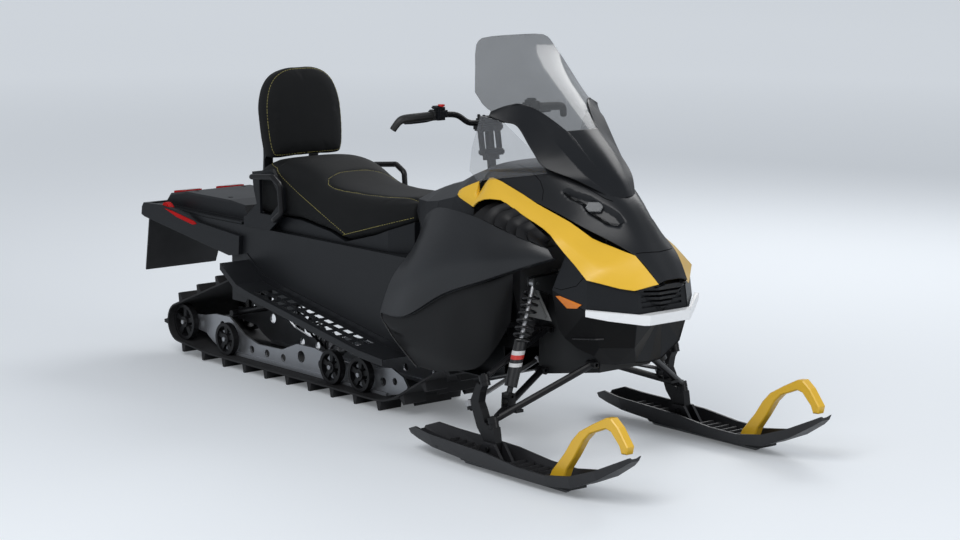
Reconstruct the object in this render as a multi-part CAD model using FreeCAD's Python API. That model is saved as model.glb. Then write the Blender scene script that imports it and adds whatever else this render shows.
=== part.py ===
import FreeCAD, Part
import math
import os

os.makedirs("parts", exist_ok=True)
V = FreeCAD.Vector

# Frame: millimetres, +X forward, +Y to the rider's left, +Z up, the ground at Z = 0.

# Driving sizes.
seat_gap = 0.3            # clearance between pieces that rest on each other
seam = 0.4                # half width of the seam between body panels
skin = 4.0                # wall of the plastic body panels

ski_stance = 900.0        # between the two kingpins
ski_length_front = 1635.0 # ski tip, forward of the origin

kingpin_low = V(951.0, -ski_stance / 2 + 5, 171.0)
kingpin_high = V(905.0, -ski_stance / 2 + 5, 309.0)
ball_play = 0.4
tie_outer = V(832.0, kingpin_low.y, 211.0)
tie_inner = V(775.0, -90.0, 305.0)
tie_radius = 8.0

track_width = 406.0
belt = 7.0
lug_height = 36.0
lug_count = 54
wheel_radius = 66.0
ground_run = lug_height + belt      # height of the belt's inner face on the ground

tunnel_half = 216.0       # inside half width of the tunnel
sheet = 3.0               # aluminium sheet of the tunnel and boards
tunnel_rear = -1500.0

# Helpers.


def save(shape, name):
    shape.exportStep("parts/" + name + ".step")


def mirrored(shape):
    return shape.mirror(V(0, 0, 0), V(0, 1, 0))


def flip(p):
    return V(p.x, -p.y, p.z)


def polygon(points):
    return Part.makePolygon(list(points) + [points[0]])


def prism_y(outline, y0, y1):
    """Side-view outline (x, z) drawn out from y0 to y1."""
    wire = polygon([V(x, y0, z) for x, z in outline])
    return Part.Face(wire).extrude(V(0, y1 - y0, 0))


def prism_x(outline, x0, x1):
    """Front-view outline (y, z) drawn out from x0 to x1."""
    wire = polygon([V(x0, y, z) for y, z in outline])
    return Part.Face(wire).extrude(V(x1 - x0, 0, 0))


def prism_z(outline, z0, z1):
    """Plan outline (x, y) drawn out from z0 to z1."""
    wire = polygon([V(x, y, z0) for x, y in outline])
    return Part.Face(wire).extrude(V(0, 0, z1 - z0))


def box(x0, x1, y0, y1, z0, z1):
    return Part.makeBox(x1 - x0, y1 - y0, z1 - z0, V(x0, y0, z0))


def rod(a, b, r):
    d = b - a
    return Part.makeCylinder(r, d.Length, a, d)


def flat_rod(a, b, radius, flats=10):
    """Straight bar with flats, as wide across its corners as a round one."""
    ring = Part.makeCircle(radius, a, b - a).discretize(flats + 1)[:flats]
    return Part.Face(polygon(ring)).extrude(b - a)


def axle(x, z, r, y0, y1):
    return Part.makeCylinder(r, y1 - y0, V(x, y0, z), V(0, 1, 0))


def bent_tube(points, radius, bend, flats=0):
    """Tube along a polyline whose corners are rolled to one bend radius, round or with flats."""
    edges = []
    start = points[0]
    for before, corner, after in zip(points, points[1:], points[2:]):
        a = (before - corner).normalize()
        b = (after - corner).normalize()
        half = a.getAngle(b) / 2.0
        back = min(bend / math.tan(half), 0.48 * (before - corner).Length,
                   0.48 * (after - corner).Length)
        p = corner + a * back
        q = corner + b * back
        middle = (a + b).normalize()
        r = back * math.tan(half)
        mid = corner + middle * (r / math.sin(half) - r)
        edges.append(Part.makeLine(start, p))
        edges.append(Part.Arc(p, mid, q).toShape())
        start = q
    edges.append(Part.makeLine(start, points[-1]))
    path = Part.Wire(edges)
    direction = points[1] - points[0]
    profile = Part.Wire([Part.makeCircle(radius, points[0], direction)])
    if flats:
        profile = polygon(profile.discretize(flats + 1)[:flats])
    return path.makePipeShell([profile], True, False)


def fused(shapes):
    first = shapes[0]
    if len(shapes) == 1:
        return first
    return first.fuse(shapes[1:]).removeSplitter()


def corner_ring(i, j, count):
    """Four corners of a net cell; the row after the last one is the first again."""
    k = (i + 1) % count
    return [(i, j), (i, j + 1), (k, j + 1), (k, j)]


def offsets(rows, wall):
    """Inward move of each net point that gives one even wall, mitred at the creases."""
    count = len(rows)
    normals = {}
    for i in range(count):
        for j in range(len(rows[0]) - 1):
            ring = corner_ring(i, j, count)
            pts = [rows[a][b] for a, b in ring]
            if None in pts or (i == count - 1 and count < 9):
                continue
            n = (pts[2] - pts[0]).cross(pts[3] - pts[1]).normalize()
            for key in ring:
                normals.setdefault(key, []).append(n)
    moves = {}
    for key, ns in normals.items():
        total = V(0, 0, 0)
        for n in ns:
            total = total + n
        total.normalize()
        lean = sum(total.dot(n) for n in ns) / len(ns)
        moves[key] = total * (wall / max(lean, 0.5))
    return moves


def solid_of(triangles):
    faces = []
    for a, b, c in triangles:
        if (b - a).cross(c - a).Length > 1e-4:
            faces.append(Part.Face(polygon([a, b, c])))
    shell = Part.makeShell(faces)
    shell.sewShape()
    solid = Part.Solid(shell)
    if solid.Volume < 0:
        solid.reverse()
    return solid


def crease_loft(rings):
    """Solid through rings with the same count of corners, creased from corner to corner."""
    faces = [Part.Face(polygon(rings[0][::-1])), Part.Face(polygon(rings[-1]))]
    for low, high in zip(rings, rings[1:]):
        for k in range(len(low)):
            n = (k + 1) % len(low)
            faces.append(Part.Face(polygon([low[k], low[n], high[n]])))
            faces.append(Part.Face(polygon([low[k], high[n], high[k]])))
    shell = Part.makeShell(faces)
    shell.sewShape()
    solid = Part.Solid(shell)
    if solid.Volume < 0:
        solid.reverse()
    return solid


def thick_panel(rows, wall, cells=None, gap=seam):
    """Moulding over cells of a net of crease lines, drawn back by gap at its rim.

    rows is a list of crease lines with the same count of points. A net of nine or more
    lines is a closed ring. The outside of the moulding lies on the net.
    """
    count = len(rows)
    if cells is None:
        cells = [(i, j) for i in range(count - 1) for j in range(len(rows[0]) - 1)
                 if None not in [rows[a][b] for a, b in corner_ring(i, j, count)]]
    inward_moves = offsets(rows, wall)
    edges = {}
    for i, j in cells:
        ring = corner_ring(i, j, count)
        for k in range(4):
            a = ring[k]
            b = ring[(k + 1) % 4]
            if (b, a) in edges:
                del edges[(b, a)]
            else:
                edges[(a, b)] = ring[(k + 2) % 4]
    pull = {}
    for (a, b), c in edges.items():
        pa = rows[a[0]][a[1]]
        along = (rows[b[0]][b[1]] - pa).normalize()
        across = rows[c[0]][c[1]] - pa
        across = (across - along * across.dot(along)).normalize()
        for key in (a, b):
            pull[key] = pull.get(key, V(0, 0, 0)) + across
    outer = {}
    inner = {}
    for i, j in cells:
        for key in corner_ring(i, j, count):
            p = rows[key[0]][key[1]] + pull.get(key, V(0, 0, 0)) * gap
            outer[key] = p
            inner[key] = p - inward_moves[key]
    triangles = []
    for i, j in cells:
        a, b, c, d = corner_ring(i, j, count)
        for s in ((a, b, c), (a, c, d)):
            triangles.append([outer[k] for k in s])
            triangles.append([inner[k] for k in s[::-1]])
    for a, b in edges:
        triangles.append([outer[b], outer[a], inner[a]])
        triangles.append([outer[b], inner[a], inner[b]])
    return solid_of(triangles)


def net_core(rows, columns, depth):
    """Solid inside a closed net, depth below its surface, with pointed ends."""
    count = len(rows)
    moves = offsets(rows, 1.0)
    triangles = []

    def at(key):
        return rows[key[0]][key[1]] - moves[key] * depth

    for i in range(count):
        for j in range(columns[0], columns[1]):
            a, b, c, d = [at(k) for k in corner_ring(i, j, count)]
            triangles.append([a, b, c])
            triangles.append([a, c, d])
    for j, turn in ((columns[0], 1), (columns[1], -1)):
        ring = [at((i, j)) for i in range(count)]
        hub = V(0, 0, 0)
        for p in ring:
            hub = hub + p * (1.0 / count)
        for k in range(count):
            triangles.append([hub, ring[k], ring[(k + 1) % count]][::turn])
    return solid_of(triangles)


def line3(*points):
    return [V(*p) if p else None for p in points]


# Track loop.
# The belt is drawn tight round these circles: drive sprocket, upper idler, rear idler,
# last ground wheel and the turned-up front of the slide rails.
drive_axle = V(320, 0, 290)
drive_radius = 88.0
upper_idler = V(-860, 0, 325)
rear_idler = V(-1325, 0, 136)
rear_idler_radius = 74.0
ground_wheels = [-1030.0, -322.0, -142.0]
rail_bend = 300.0
loop = [
    (drive_axle, drive_radius),
    (upper_idler, wheel_radius),
    (rear_idler, rear_idler_radius),
    (V(-1105, 0, ground_run + wheel_radius), wheel_radius),
    (V(-20, 0, ground_run + rail_bend), rail_bend),
]


def tangent(a, ra, b, rb):
    """Outer tangent of two circles of the belt, on its left going from a to b."""
    d = b - a
    length = d.Length
    base = math.atan2(d.z, d.x)
    lean = math.acos((ra - rb) / length)
    angle = base - lean
    n = V(math.cos(angle), 0, math.sin(angle))
    return a + n * ra, b + n * rb, angle


def belt_path(grow):
    """Closed belt line, offset outward by grow, as (point, outward angle) pairs."""
    lines = []
    n = len(loop)
    for k in range(n):
        a, ra = loop[k]
        b, rb = loop[(k + 1) % n]
        lines.append(tangent(a, ra + grow, b, rb + grow))
    return lines


def belt_wire(grow, y):
    lines = belt_path(grow)
    edges = []
    n = len(lines)
    for k in range(n):
        p, q, angle = lines[k]
        edges.append(Part.makeLine(V(p.x, y, p.z), V(q.x, y, q.z)))
        centre, r = loop[(k + 1) % n]
        nxt = lines[(k + 1) % n]
        sweep = (nxt[2] - angle) % (2 * math.pi)
        mid = angle + sweep / 2
        m = centre + V(math.cos(mid), 0, math.sin(mid)) * (r + grow)
        edges.append(Part.Arc(V(q.x, y, q.z), V(m.x, y, m.z), V(nxt[0].x, y, nxt[0].z)).toShape())
    return Part.Wire(edges)


def along_belt(grow, count):
    """Even stations on the belt: (point, outward normal)."""
    wire = belt_wire(grow, 0.0)
    stations = []
    points = wire.discretize(Number=count * 8 + 1)[:-1]
    for k in range(count):
        i = 8 * k
        before = points[i - 1]
        after = points[(i + 1) % len(points)]
        t = (after - before).normalize()
        stations.append((points[i], V(t.z, 0, -t.x)))
    return stations


def build_track():
    outer = Part.Face(belt_wire(belt, 0.0))
    inner = Part.Face(belt_wire(0.0, 0.0))
    ring = outer.cut(inner)
    band = ring.extrude(V(0, track_width, 0))
    band.translate(V(0, -track_width / 2, 0))
    lugs = []
    foot = 15.0
    crest = 6.0
    sink = 1.5
    for k, (p, n) in enumerate(along_belt(belt, lug_count)):
        t = V(n.z, 0, -n.x)
        rows = [(-195.0, -95.0), (95.0, 195.0)] if k % 2 else [(-85.0, 85.0)]
        for y0, y1 in rows:
            base = [p - n * sink + t * foot, p + n * lug_height + t * crest,
                    p + n * lug_height - t * crest, p - n * sink - t * foot]
            wire = polygon([V(q.x, y0, q.z) for q in base])
            lugs.append(Part.Face(wire).extrude(V(0, y1 - y0, 0)))
    return band.fuse(lugs)


# Skid frame.
rail_half = 125.0         # side rails, centre distance from the middle
rail_sheet = 9.0
rail_foot = ground_run + 0.3


def build_rails():
    shoe = rail_foot + 12
    axle_z = ground_run + wheel_radius
    outline = [(-1110, rail_foot), (-20, rail_foot), (80, rail_foot + 26), (96, rail_foot + 52),
               (70, 128), (0, 152), (-70, 140), (-110, 130), (-350, 130), (-480, 152),
               (-600, 150), (-700, 112), (-860, 108), (-960, 132), (-1060, 190), (-1160, 188),
               (-1240, 172), (-1362, 160), (-1362, 112), (-1230, 100), (-1180, 70)]
    y_in = -rail_half + rail_sheet / 2
    rail = prism_y(outline, -rail_half - rail_sheet / 2, y_in)
    cuts = []
    for x, z, r in ((-1110, 146, 20), (-905, 80, 16), (-800, 80, 16), (-690, 80, 16),
                    (-570, 104, 24), (-440, 92, 20), (-232, 84, 16), (-50, 92, 17), (20, 104, 14)):
        cuts.append(ring_of(x, z, r, -rail_half - 20, -rail_half + 20, 12))
    rail = rail.cut(cuts)
    shoe_line = [(-1110, rail_foot), (-20, rail_foot), (-20, shoe), (-1110, shoe)]
    extra = [prism_y(shoe_line, -rail_half - 16, -rail_half + 16)]
    for x in ground_wheels:
        extra.append(ring_of(x, axle_z, shaft_radius, -wheel_outer - wheel_width - 6, y_in, 12))
    rail = rail.fuse(extra)
    return rail


rim_sides = 24


def ring_of(x, z, radius, y0, y1, flats):
    """Disc with flats, drawn from y0 to y1."""
    turn = 2 * math.pi / flats
    return prism_y([(x + radius * math.cos(turn * k), z + radius * math.sin(turn * k))
                    for k in range(flats)], y0, y1)


def wheel(x, z, radius, y0, width, bore):
    """Spoked idler wheel: rim, hub and five spokes."""
    centre = V(x, 0, z)
    rim = ring_of(x, z, radius, y0, y0 + width, rim_sides)
    rim = rim.cut(ring_of(x, z, radius - 13, y0 - 1, y0 + width + 1, rim_sides))
    hub = ring_of(x, z, 23, y0, y0 + width, 10)
    spokes = []
    for k in range(5):
        n = V(math.cos(2 * math.pi * k / 5 + 0.3), 0, math.sin(2 * math.pi * k / 5 + 0.3))
        t = V(-n.z, 0, n.x)
        ends = [centre + n * 18 + t * 8, centre + n * (radius - 12) + t * 12,
                centre + n * (radius - 12) - t * 12, centre + n * 18 - t * 8]
        spokes.append(prism_y([(p.x, p.z) for p in ends], y0 + width * 0.25, y0 + width * 0.75))
    body = rim.fuse([hub] + spokes)
    return body.cut(ring_of(x, z, bore / math.cos(math.pi / 12), y0 - 1, y0 + width + 1, 12))


wheel_width = 26.0
wheel_outer = 150.0       # near face of the outer wheels, from the middle
shaft_radius = 9.0


def wheel_pair(x, z, radius, y_near):
    one = wheel(x, z, radius, -y_near - wheel_width, wheel_width, shaft_radius + seat_gap)
    return [one, mirrored(one)]

ground_pairs = []
for station in ground_wheels:
    ground_pairs += wheel_pair(station, ground_run + wheel_radius, wheel_radius - seat_gap,
                               wheel_outer)
rear_pairs = wheel_pair(rear_idler.x, rear_idler.z, rear_idler_radius - seat_gap, wheel_outer)
upper_pairs = wheel_pair(upper_idler.x, upper_idler.z, wheel_radius - seat_gap, 102.0)

rear_axle = axle(rear_idler.x, rear_idler.z, shaft_radius, -184, 184)
rails_right = build_rails()
rails_right = rails_right.cut(axle(rear_idler.x, rear_idler.z, shaft_radius + seat_gap, -250, 250))

arm_tube = 13.0
front_arm_top = V(110, 0, 322)
front_arm_foot = V(-215, 0, 150)
rear_arm_top = V(-560, 0, 335)
rear_arm_foot = V(-1060, 0, 205)
arm_half = 82.0           # half width of the arms, inside the rails


def swing_arm(top, foot, half_top, half_foot):
    """Welded tube arm: a shaft across the tunnel, two legs and a shaft across the rails."""
    parts = [rod(V(top.x, -half_top, top.z), V(top.x, half_top, top.z), 15),
             rod(V(foot.x, -half_foot, foot.z), V(foot.x, half_foot, foot.z), 12)]
    for s in (-1, 1):
        parts.append(flat_rod(V(top.x, s * arm_half, top.z), V(foot.x, s * arm_half, foot.z),
                              arm_tube))
    knee = top + (foot - top) * 0.55
    parts.append(flat_rod(V(knee.x, -arm_half, knee.z), V(knee.x, arm_half, knee.z), 11))
    return fused(parts)


rail_inside = rail_half - rail_sheet / 2 - seat_gap
front_arm = swing_arm(front_arm_top, front_arm_foot, tunnel_half - seat_gap, rail_inside)
rear_arm = swing_arm(rear_arm_top, rear_arm_foot, tunnel_half - seat_gap, rail_inside)


coil_sides = 12           # steps in one turn of a coil
wire_sides = 4


def coil(a, b, radius, wire, turns):
    """Helical spring between two points on its own axis."""
    d = b - a
    steps = int(turns * coil_sides)
    rings = []
    for k in range(steps + 1):
        angle = 2 * math.pi * turns * k / steps
        out = V(math.cos(angle), math.sin(angle), 0)
        centre = out * radius + V(0, 0, d.Length * k / steps)
        rings.append([centre + out * (wire * math.cos(b)) + V(0, 0, wire * math.sin(b))
                      for b in (2 * math.pi * n / wire_sides for n in range(wire_sides))])
    body = crease_loft(rings)
    body.Placement = FreeCAD.Placement(a, FreeCAD.Rotation(V(0, 0, 1), d))
    return body


def damper(a, b, tube_r, tube_len, rod_r, eye_r, eye_w, eye_axis):
    """Damper from top eye a to bottom eye b: rod above, tube below."""
    d = (b - a).normalize()
    side = V(*eye_axis)
    eyes = []
    for p in (a, b):
        eyes.append(Part.makeCylinder(eye_r, eye_w, p - side * (eye_w / 2), side))
    stem = rod(a + d * (eye_r - 4), b - d * (tube_len - 20), rod_r)
    tube = rod(b - d * tube_len, b - d * (eye_r + 18), tube_r)
    neck = rod(b - d * (eye_r + 20), b - d * (eye_r - 4), eye_w * 0.42)
    return fused([stem, tube, neck] + eyes)


rear_knee = rear_arm_top + (rear_arm_foot - rear_arm_top) * 0.55
cross_shaft = V(-500, 0, 122)
coil_collar = 28.7        # collars that seat the coil, from the centres of the eyes


def build_skid_damper():
    """Damper of the slide suspension between the rear arm and a shaft in the rails."""
    a = rear_knee
    b = cross_shaft
    d = (b - a).normalize()
    eyes = [axle(p.x, p.z, 21, -15, 15) for p in (a, b)]
    body = fused([rod(a + d * 18, b - d * 60, 7), flat_rod(b - d * 150, b - d * 22, 20),
                  flat_rod(a + d * 18, a + d * coil_collar, 31),
                  flat_rod(b - d * coil_collar, b - d * 18, 31)] + eyes)
    return body.cut([axle(a.x, a.z, 11 + seat_gap, -40, 40), axle(b.x, b.z, 12 + seat_gap, -40, 40)])


def build_skid_spring():
    d = (cross_shaft - rear_knee).normalize()
    end = coil_collar + 5 + seat_gap
    return coil(rear_knee + d * end, cross_shaft - d * end, 27, 5, 9)


# Tunnel.
tunnel_top = 600.0
tunnel_nose = 470.0
side_line = [(tunnel_rear, tunnel_top), (tunnel_nose, tunnel_top), (tunnel_nose, 262), (300, 262),
             (80, 268), (-600, 385), (-690, 405), (-790, 470), (-900, 480), (tunnel_rear, 572)]


def build_tunnel():
    outer = prism_y([(x, z + (sheet if z == tunnel_top else 0)) for x, z in side_line],
                    -tunnel_half - sheet, tunnel_half + sheet)
    inner = box(tunnel_rear - 10, tunnel_nose - sheet, -tunnel_half, tunnel_half, 0, tunnel_top)
    body = outer.cut(inner)
    ears = []
    for s in (-1, 1):
        y0, y1 = sorted((s * (tunnel_half + sheet), s * tunnel_half))
        ears.append(prism_y([(-600, 410), (-640, 410), (-620, 300), (-510, 300), (-430, 380)],
                            y0, y1))
        ears.append(prism_y([(-790, 500), (-905, 500), (-905, 295), (-815, 295), (-690, 430)],
                            y0, y1))
    return fused([body] + ears)


upper_shaft = rod(V(upper_idler.x, seat_gap - tunnel_half, upper_idler.z),
                  V(upper_idler.x, tunnel_half - seat_gap, upper_idler.z), shaft_radius)


def sprocket(y0, width, teeth):
    disc = axle(drive_axle.x, drive_axle.z, drive_radius - 12, y0, y0 + width)
    cogs = []
    for k in range(teeth):
        a = 2 * math.pi * k / teeth
        n = V(math.cos(a), 0, math.sin(a))
        t = V(-n.z, 0, n.x)
        root = drive_axle + n * (drive_radius - 16)
        tip = drive_axle + n * (drive_radius - seat_gap - 0.5)
        pts = [root + t * 11, tip + t * 6, tip - t * 6, root - t * 11]
        cogs.append(Part.Face(polygon([V(p.x, y0, p.z) for p in pts])).extrude(V(0, width, 0)))
    return disc.fuse(cogs)


drive_shaft = rod(V(drive_axle.x, seat_gap - tunnel_half, drive_axle.z),
                  V(drive_axle.x, tunnel_half - seat_gap, drive_axle.z), 16)
drive_train = fused([drive_shaft, sprocket(-78, 26, 9), sprocket(52, 26, 9)])

# Running boards.
board_in = tunnel_half + sheet + seat_gap
board_out = 345.0
board_line = [(225, 250), (80, 262), (-600, 378), (-690, 398), (-800, 468)]


def build_board():
    low = [(x, z - 3) for x, z in board_line]
    deck = prism_y(board_line + low[::-1], -board_out, -board_in)
    lip = [(x, z - 26) for x, z in board_line]
    edge = prism_y(board_line + lip[::-1], -board_out - 4, -board_out)
    flange = [(x, z + 26) for x, z in board_line]
    root = prism_y(board_line + flange[::-1], -board_in - 3, -board_in)
    slots = []
    teeth = []
    for k in range(11):
        x = 20 - 60 * k
        z = 262 + (80 - x) * (378 - 262) / 680.0
        slots.append(box(x - 21, x + 21, -board_out + 22, -board_out + 52, 200, 420))
        slots.append(box(x - 21, x + 21, -board_in - 50, -board_in - 22, 200, 420))
        tooth = [(x - 20, z - 1), (x - 14, z + 11), (x - 8, z + 2), (x - 2, z + 9), (x + 4, z + 1),
                 (x + 10, z + 8), (x + 20, z - 4)]
        for y in (-board_out + 18, -board_out + 60):
            teeth.append(prism_y(tooth, y - 4, y))
    deck = deck.cut(slots)
    return fused([deck, edge, root] + teeth)


# Skis and spindles.
ski_y = kingpin_low.y
toe_root = 1040.0         # forward of this the ski is toe, which follows the ski's length


def toe(x):
    return toe_root + (x - toe_root) * (ski_length_front - toe_root) / 595.0 if x > toe_root else x



def ski_section(x, z_low, z_side, half_floor, half_top, wall=8.0):
    """Channel section: flat sole, flared side walls."""
    floor = z_low + wall + 2
    pts = [(-half_top, z_side), (-half_floor, z_low), (half_floor, z_low), (half_top, z_side),
           (half_top - wall, z_side), (half_floor - wall * 0.6, floor),
           (-half_floor + wall * 0.6, floor), (-half_top + wall, z_side)]
    return [V(toe(x), ski_y + y, z) for y, z in pts]


ski_stations = [
    (550, 60, 78, 32, 42), (600, 50, 96, 38, 56), (690, 38, 88, 48, 66), (880, 28, 84, 56, 73),
    (1000, 25, 80, 58, 75), (1160, 22, 64, 60, 75), (1290, 22, 62, 60, 74), (1400, 38, 80, 58, 71),
    (1510, 84, 118, 48, 62), (1600, 138, 160, 34, 46), (1635, 163, 178, 18, 28),
]
handle_half = 17.0
handle_outer = [(1246, 33), (1262, 64), (1321, 132), (1355, 181), (1389, 216), (1452, 252),
                (1515, 284), (1540, 287), (1574, 262), (1618, 207), (1612, 182)]
handle_inner = [(1588, 180), (1578, 204), (1538, 243), (1514, 248), (1441, 218), (1412, 190),
                (1374, 132), (1337, 82), (1318, 36)]


def ski_floor(x):
    for a, b in zip(ski_stations, ski_stations[1:]):
        if a[0] <= x <= b[0]:
            return a[1] + (b[1] - a[1]) * (x - a[0]) / (b[0] - a[0]) + 10
    return 0.0


def build_ski():
    blade = crease_loft([ski_section(*s) for s in ski_stations])
    ribs = []
    for k in range(15):
        x = 715 + 38 * k
        if 860 < x < 1050:
            continue
        z = ski_floor(x)
        ribs.append(prism_y([(toe(x) + dx, z + dz) for dx, dz in ((-6, -3), (-3, 17), (3, 17), (6, -3))],
                            ski_y - 54, ski_y + 54))
    keel = prism_y([(toe(x), z) for x, z in ((760, 40), (800, 10), (1340, 10), (1400, 30), (1400, 44),
                                            (1340, 28))],
                   ski_y - 14, ski_y + 14)
    ears = []
    for s in (-1, 1):
        y0, y1 = sorted((ski_y + s * 15.3, ski_y + s * 26))
        ears.append(prism_y([(880, 32), (930, 100), (985, 100), (1040, 32)], y0, y1))
    body = fused([blade, keel] + ribs + ears)
    return body.cut(axle(957, 80, 8 + seat_gap, ski_y - 60, ski_y + 60))


def build_runner():
    return prism_y([(800, 9.7), (815, 0), (toe(1322), 0), (toe(1337), 9.7)], ski_y - 5, ski_y + 5)


def build_handle():
    """Moulded loop on the toe, its long corners taken off."""
    outline = [(toe(x), z) for x, z in handle_outer + handle_inner]
    loop_body = prism_y(outline, ski_y - handle_half, ski_y + handle_half)
    rims = [e for e in loop_body.Edges if e.BoundBox.YLength < 1]
    return loop_body.makeChamfer(4, rims).cut(ski)


king = (kingpin_high - kingpin_low).normalize()


def build_spindle():
    leg = [(931, 66), (957, 60), (978, 70), (980, 100), (976, 128), (972, 150), (940, 158), (925, 162),
           (905, 205), (893, 226), (900, 262), (912, 284), (885, 292), (868, 262), (851, 228),
           (862, 190), (884, 140), (920, 100)]
    body = prism_y(leg, ski_y - 15, ski_y + 15)
    low_ledge = rod(kingpin_low - king * 27, kingpin_low - king * 11.4, 17)
    high_ledge = rod(kingpin_high - king * 27, kingpin_high - king * 11.4, 17)
    studs = [rod(kingpin_low - king * 14, kingpin_low + king * 16, 8),
             rod(kingpin_high - king * 14, kingpin_high + king * 16, 8)]
    arm = rod(V(880, ski_y, 205), tie_outer - king * 17, 10)
    arm_end = rod(tie_outer - king * 22, tie_outer - king * 10.3, 14)
    arm_stud = rod(tie_outer - king * 14, tie_outer + king * 13, 6)
    foot_pin = axle(957, 80, 8, ski_y - 34, ski_y + 34)
    room = [rod(kingpin_low - king * 11.4, kingpin_low + king * 30, 24),
            rod(kingpin_high - king * 11.4, kingpin_high + king * 30, 24)]
    body = body.cut(room)
    arm = arm.cut(rod(tie_outer - king * 10.3, tie_outer + king * 30, 22))
    return fused([body, low_ledge, high_ledge, arm, arm_end, arm_stud, foot_pin] + studs)


def build_tie_rod():
    d = (tie_inner - tie_outer).normalize()
    bar = rod(tie_outer + d * 12, tie_inner - d * 12, tie_radius)
    eye = rod(tie_outer - king * 10, tie_outer + king * 10, 16)
    head = rod(tie_inner - king * 10, tie_inner + king * 10, 15)
    body = fused([bar, eye, head])
    return body.cut([rod(tie_outer - king * 20, tie_outer + king * 20, 6 + ball_play),
                     rod(tie_inner - king * 20, tie_inner + king * 20, 6)])


# Front arms.
bulk_half = 118.0
bulk_rear = 812.0         # rear face of the bulkhead casting, where the engine cradle ends
pivot_y = -(bulk_half + 13 + seat_gap)
low_front = V(1098, pivot_y, 346)
low_rear = V(842, pivot_y, 284)
up_front = V(874, pivot_y, 434)
up_rear = V(832, pivot_y, 426)


def wishbone(front, rear, ball, tube, eye_len):
    parts = [flat_rod(front, ball, tube), flat_rod(rear, ball, tube),
             rod(front - V(eye_len / 2, 0, 0), front + V(eye_len / 2, 0, 0), 13),
             rod(rear - V(eye_len / 2, 0, 0), rear + V(eye_len / 2, 0, 0), 13),
             rod(ball - king * 11, ball + king * 11, 18)]
    body = fused(parts)
    room = [rod(ball - king * 40, ball + king * 40, 8 + ball_play),
            rod(ball - king * 60, ball - king * 11, 24),
            rod(ball + king * 11, ball + king * 60, 24)]
    bolts = [rod(front - V(60, 0, 0), front + V(60, 0, 0), 6),
             rod(rear - V(60, 0, 0), rear + V(60, 0, 0), 6)]
    return body.cut(room + bolts)


shock_top = V(915, -234, 611)
shock_foot = V(936, -364, 242)


def build_front_lower():
    body = wishbone(low_front, low_rear, kingpin_low, 12, 44)
    y = shock_foot.y
    share = (y - low_rear.y) / (kingpin_low.y - low_rear.y)
    leg_at = low_rear + (kingpin_low - low_rear) * share
    ears = []
    for s in (-1, 1):
        x0, x1 = sorted((shock_foot.x + s * 12.3, shock_foot.x + s * 20))
        ears.append(prism_x([(y - 16, leg_at.z - 6), (y + 16, leg_at.z + 2), (y + 13, 252),
                             (y - 13, 252)], x0, x1))
    ears.append(box(leg_at.x - 6, low_front.x + (kingpin_low.x - low_front.x) * share + 6, y - 16,
                    y + 16, leg_at.z - 6, leg_at.z + 4))
    body = fused([body] + ears)
    return body.cut(rod(shock_foot - V(40, 0, 0), shock_foot + V(40, 0, 0), 6))


def build_front_shock():
    return damper(shock_top, shock_foot, 22, 190, 8, 14, 24, (1, 0, 0))


def build_front_spring():
    d = (shock_foot - shock_top).normalize()
    return coil(shock_top + d * 34, shock_top + d * 205, 28, 4.5, 7)


def build_bulkhead():
    line = [(bulk_rear, 264), (1120, 318), (1128, 372), (1012, 455), (966, 640), (876, 640), (852, 470),
            (bulk_rear, 452)]
    body = prism_y(line, -bulk_half, bulk_half)
    room = [(842, 322), (1080, 352), (1075, 372), (990, 430), (945, 600), (898, 600), (878, 452),
            (842, 430)]
    body = body.cut(prism_y(room, -bulk_half + 5, bulk_half - 5))
    towers = []
    for s in (-1, 1):
        y0 = s * (bulk_half - 6)
        y1 = s * (abs(shock_top.y) + 16)
        for x in (shock_top.x - 12.3 - 6, shock_top.x + 12.3):
            towers.append(prism_x([(y0, 540), (y0, 636), (y1, 630), (y1, 600)], x, x + 6))
    posts = []
    for s in (-1, 1):
        post = rod(V(930, s * 72, 634), V(930, s * 72, 1020), 11).cut(hood)
        posts.append(min(post.Solids, key=lambda piece: piece.BoundBox.ZMin))
    body = fused([body] + towers + posts)
    pins = [rod(V(shock_top.x - 40, s * shock_top.y, shock_top.z),
                V(shock_top.x + 40, s * shock_top.y, shock_top.z), 6) for s in (-1, 1)]
    return body.cut(pins)


# Cowl net.
# Crease lines of the right half, each from the nose rearwards.
centre_top = line3((1345, 0, 657), (1262, 0, 757), (1134, 0, 896), (1000, 0, 952), (860, 0, 1000),
                   (625, 0, 988))
hood_ridge = line3((1345, -36, 656), (1261, -46, 754), (1122, -72, 882), (1003, -106, 942),
                   (862, -138, 984), (625, -168, 974))
accent_top = line3((1344, -66, 647), (1257, -92, 734), (1060, -152, 813), (950, -168, 850),
                   (790, -188, 893), (637, -206, 929))
accent_low = line3((1290, -112, 617), (1180, -236, 667), (1070, -224, 741), (980, -224, 782),
                   (768, -236, 872), (612, -254, 838))
bumper_line = line3((1300, -118, 532), (1190, -246, 552), (1010, -238, 600), None, None, None)
belly_line = line3((1275, -104, 425), (1180, -176, 420), (1018, -205, 418), None, None, None)
keel_line = line3((1235, -60, 362), (1180, -100, 352), (1100, -150, 350), None, None, None)
keel_centre = line3((1237, 0, 356), (1190, 0, 347), (1150, 0, 345), None, None, None)


def flipped(line):
    return [flip(p) if p else None for p in line]


right_net = [centre_top, hood_ridge, accent_top, accent_low, bumper_line, belly_line, keel_line,
             keel_centre]
cowl = right_net + [flipped(r) for r in right_net[-2:0:-1]]
row_count = len(cowl)


def net_cells(rows, columns):
    return [(i % row_count, j) for i in rows for j in columns]


hood_cells = net_cells((-2, -1, 0, 1), range(5))
accent_cells = net_cells((2,), range(5))
nose_cells = net_cells((3,), range(2))
belly_cells = net_cells(range(4, 10), range(2))

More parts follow.
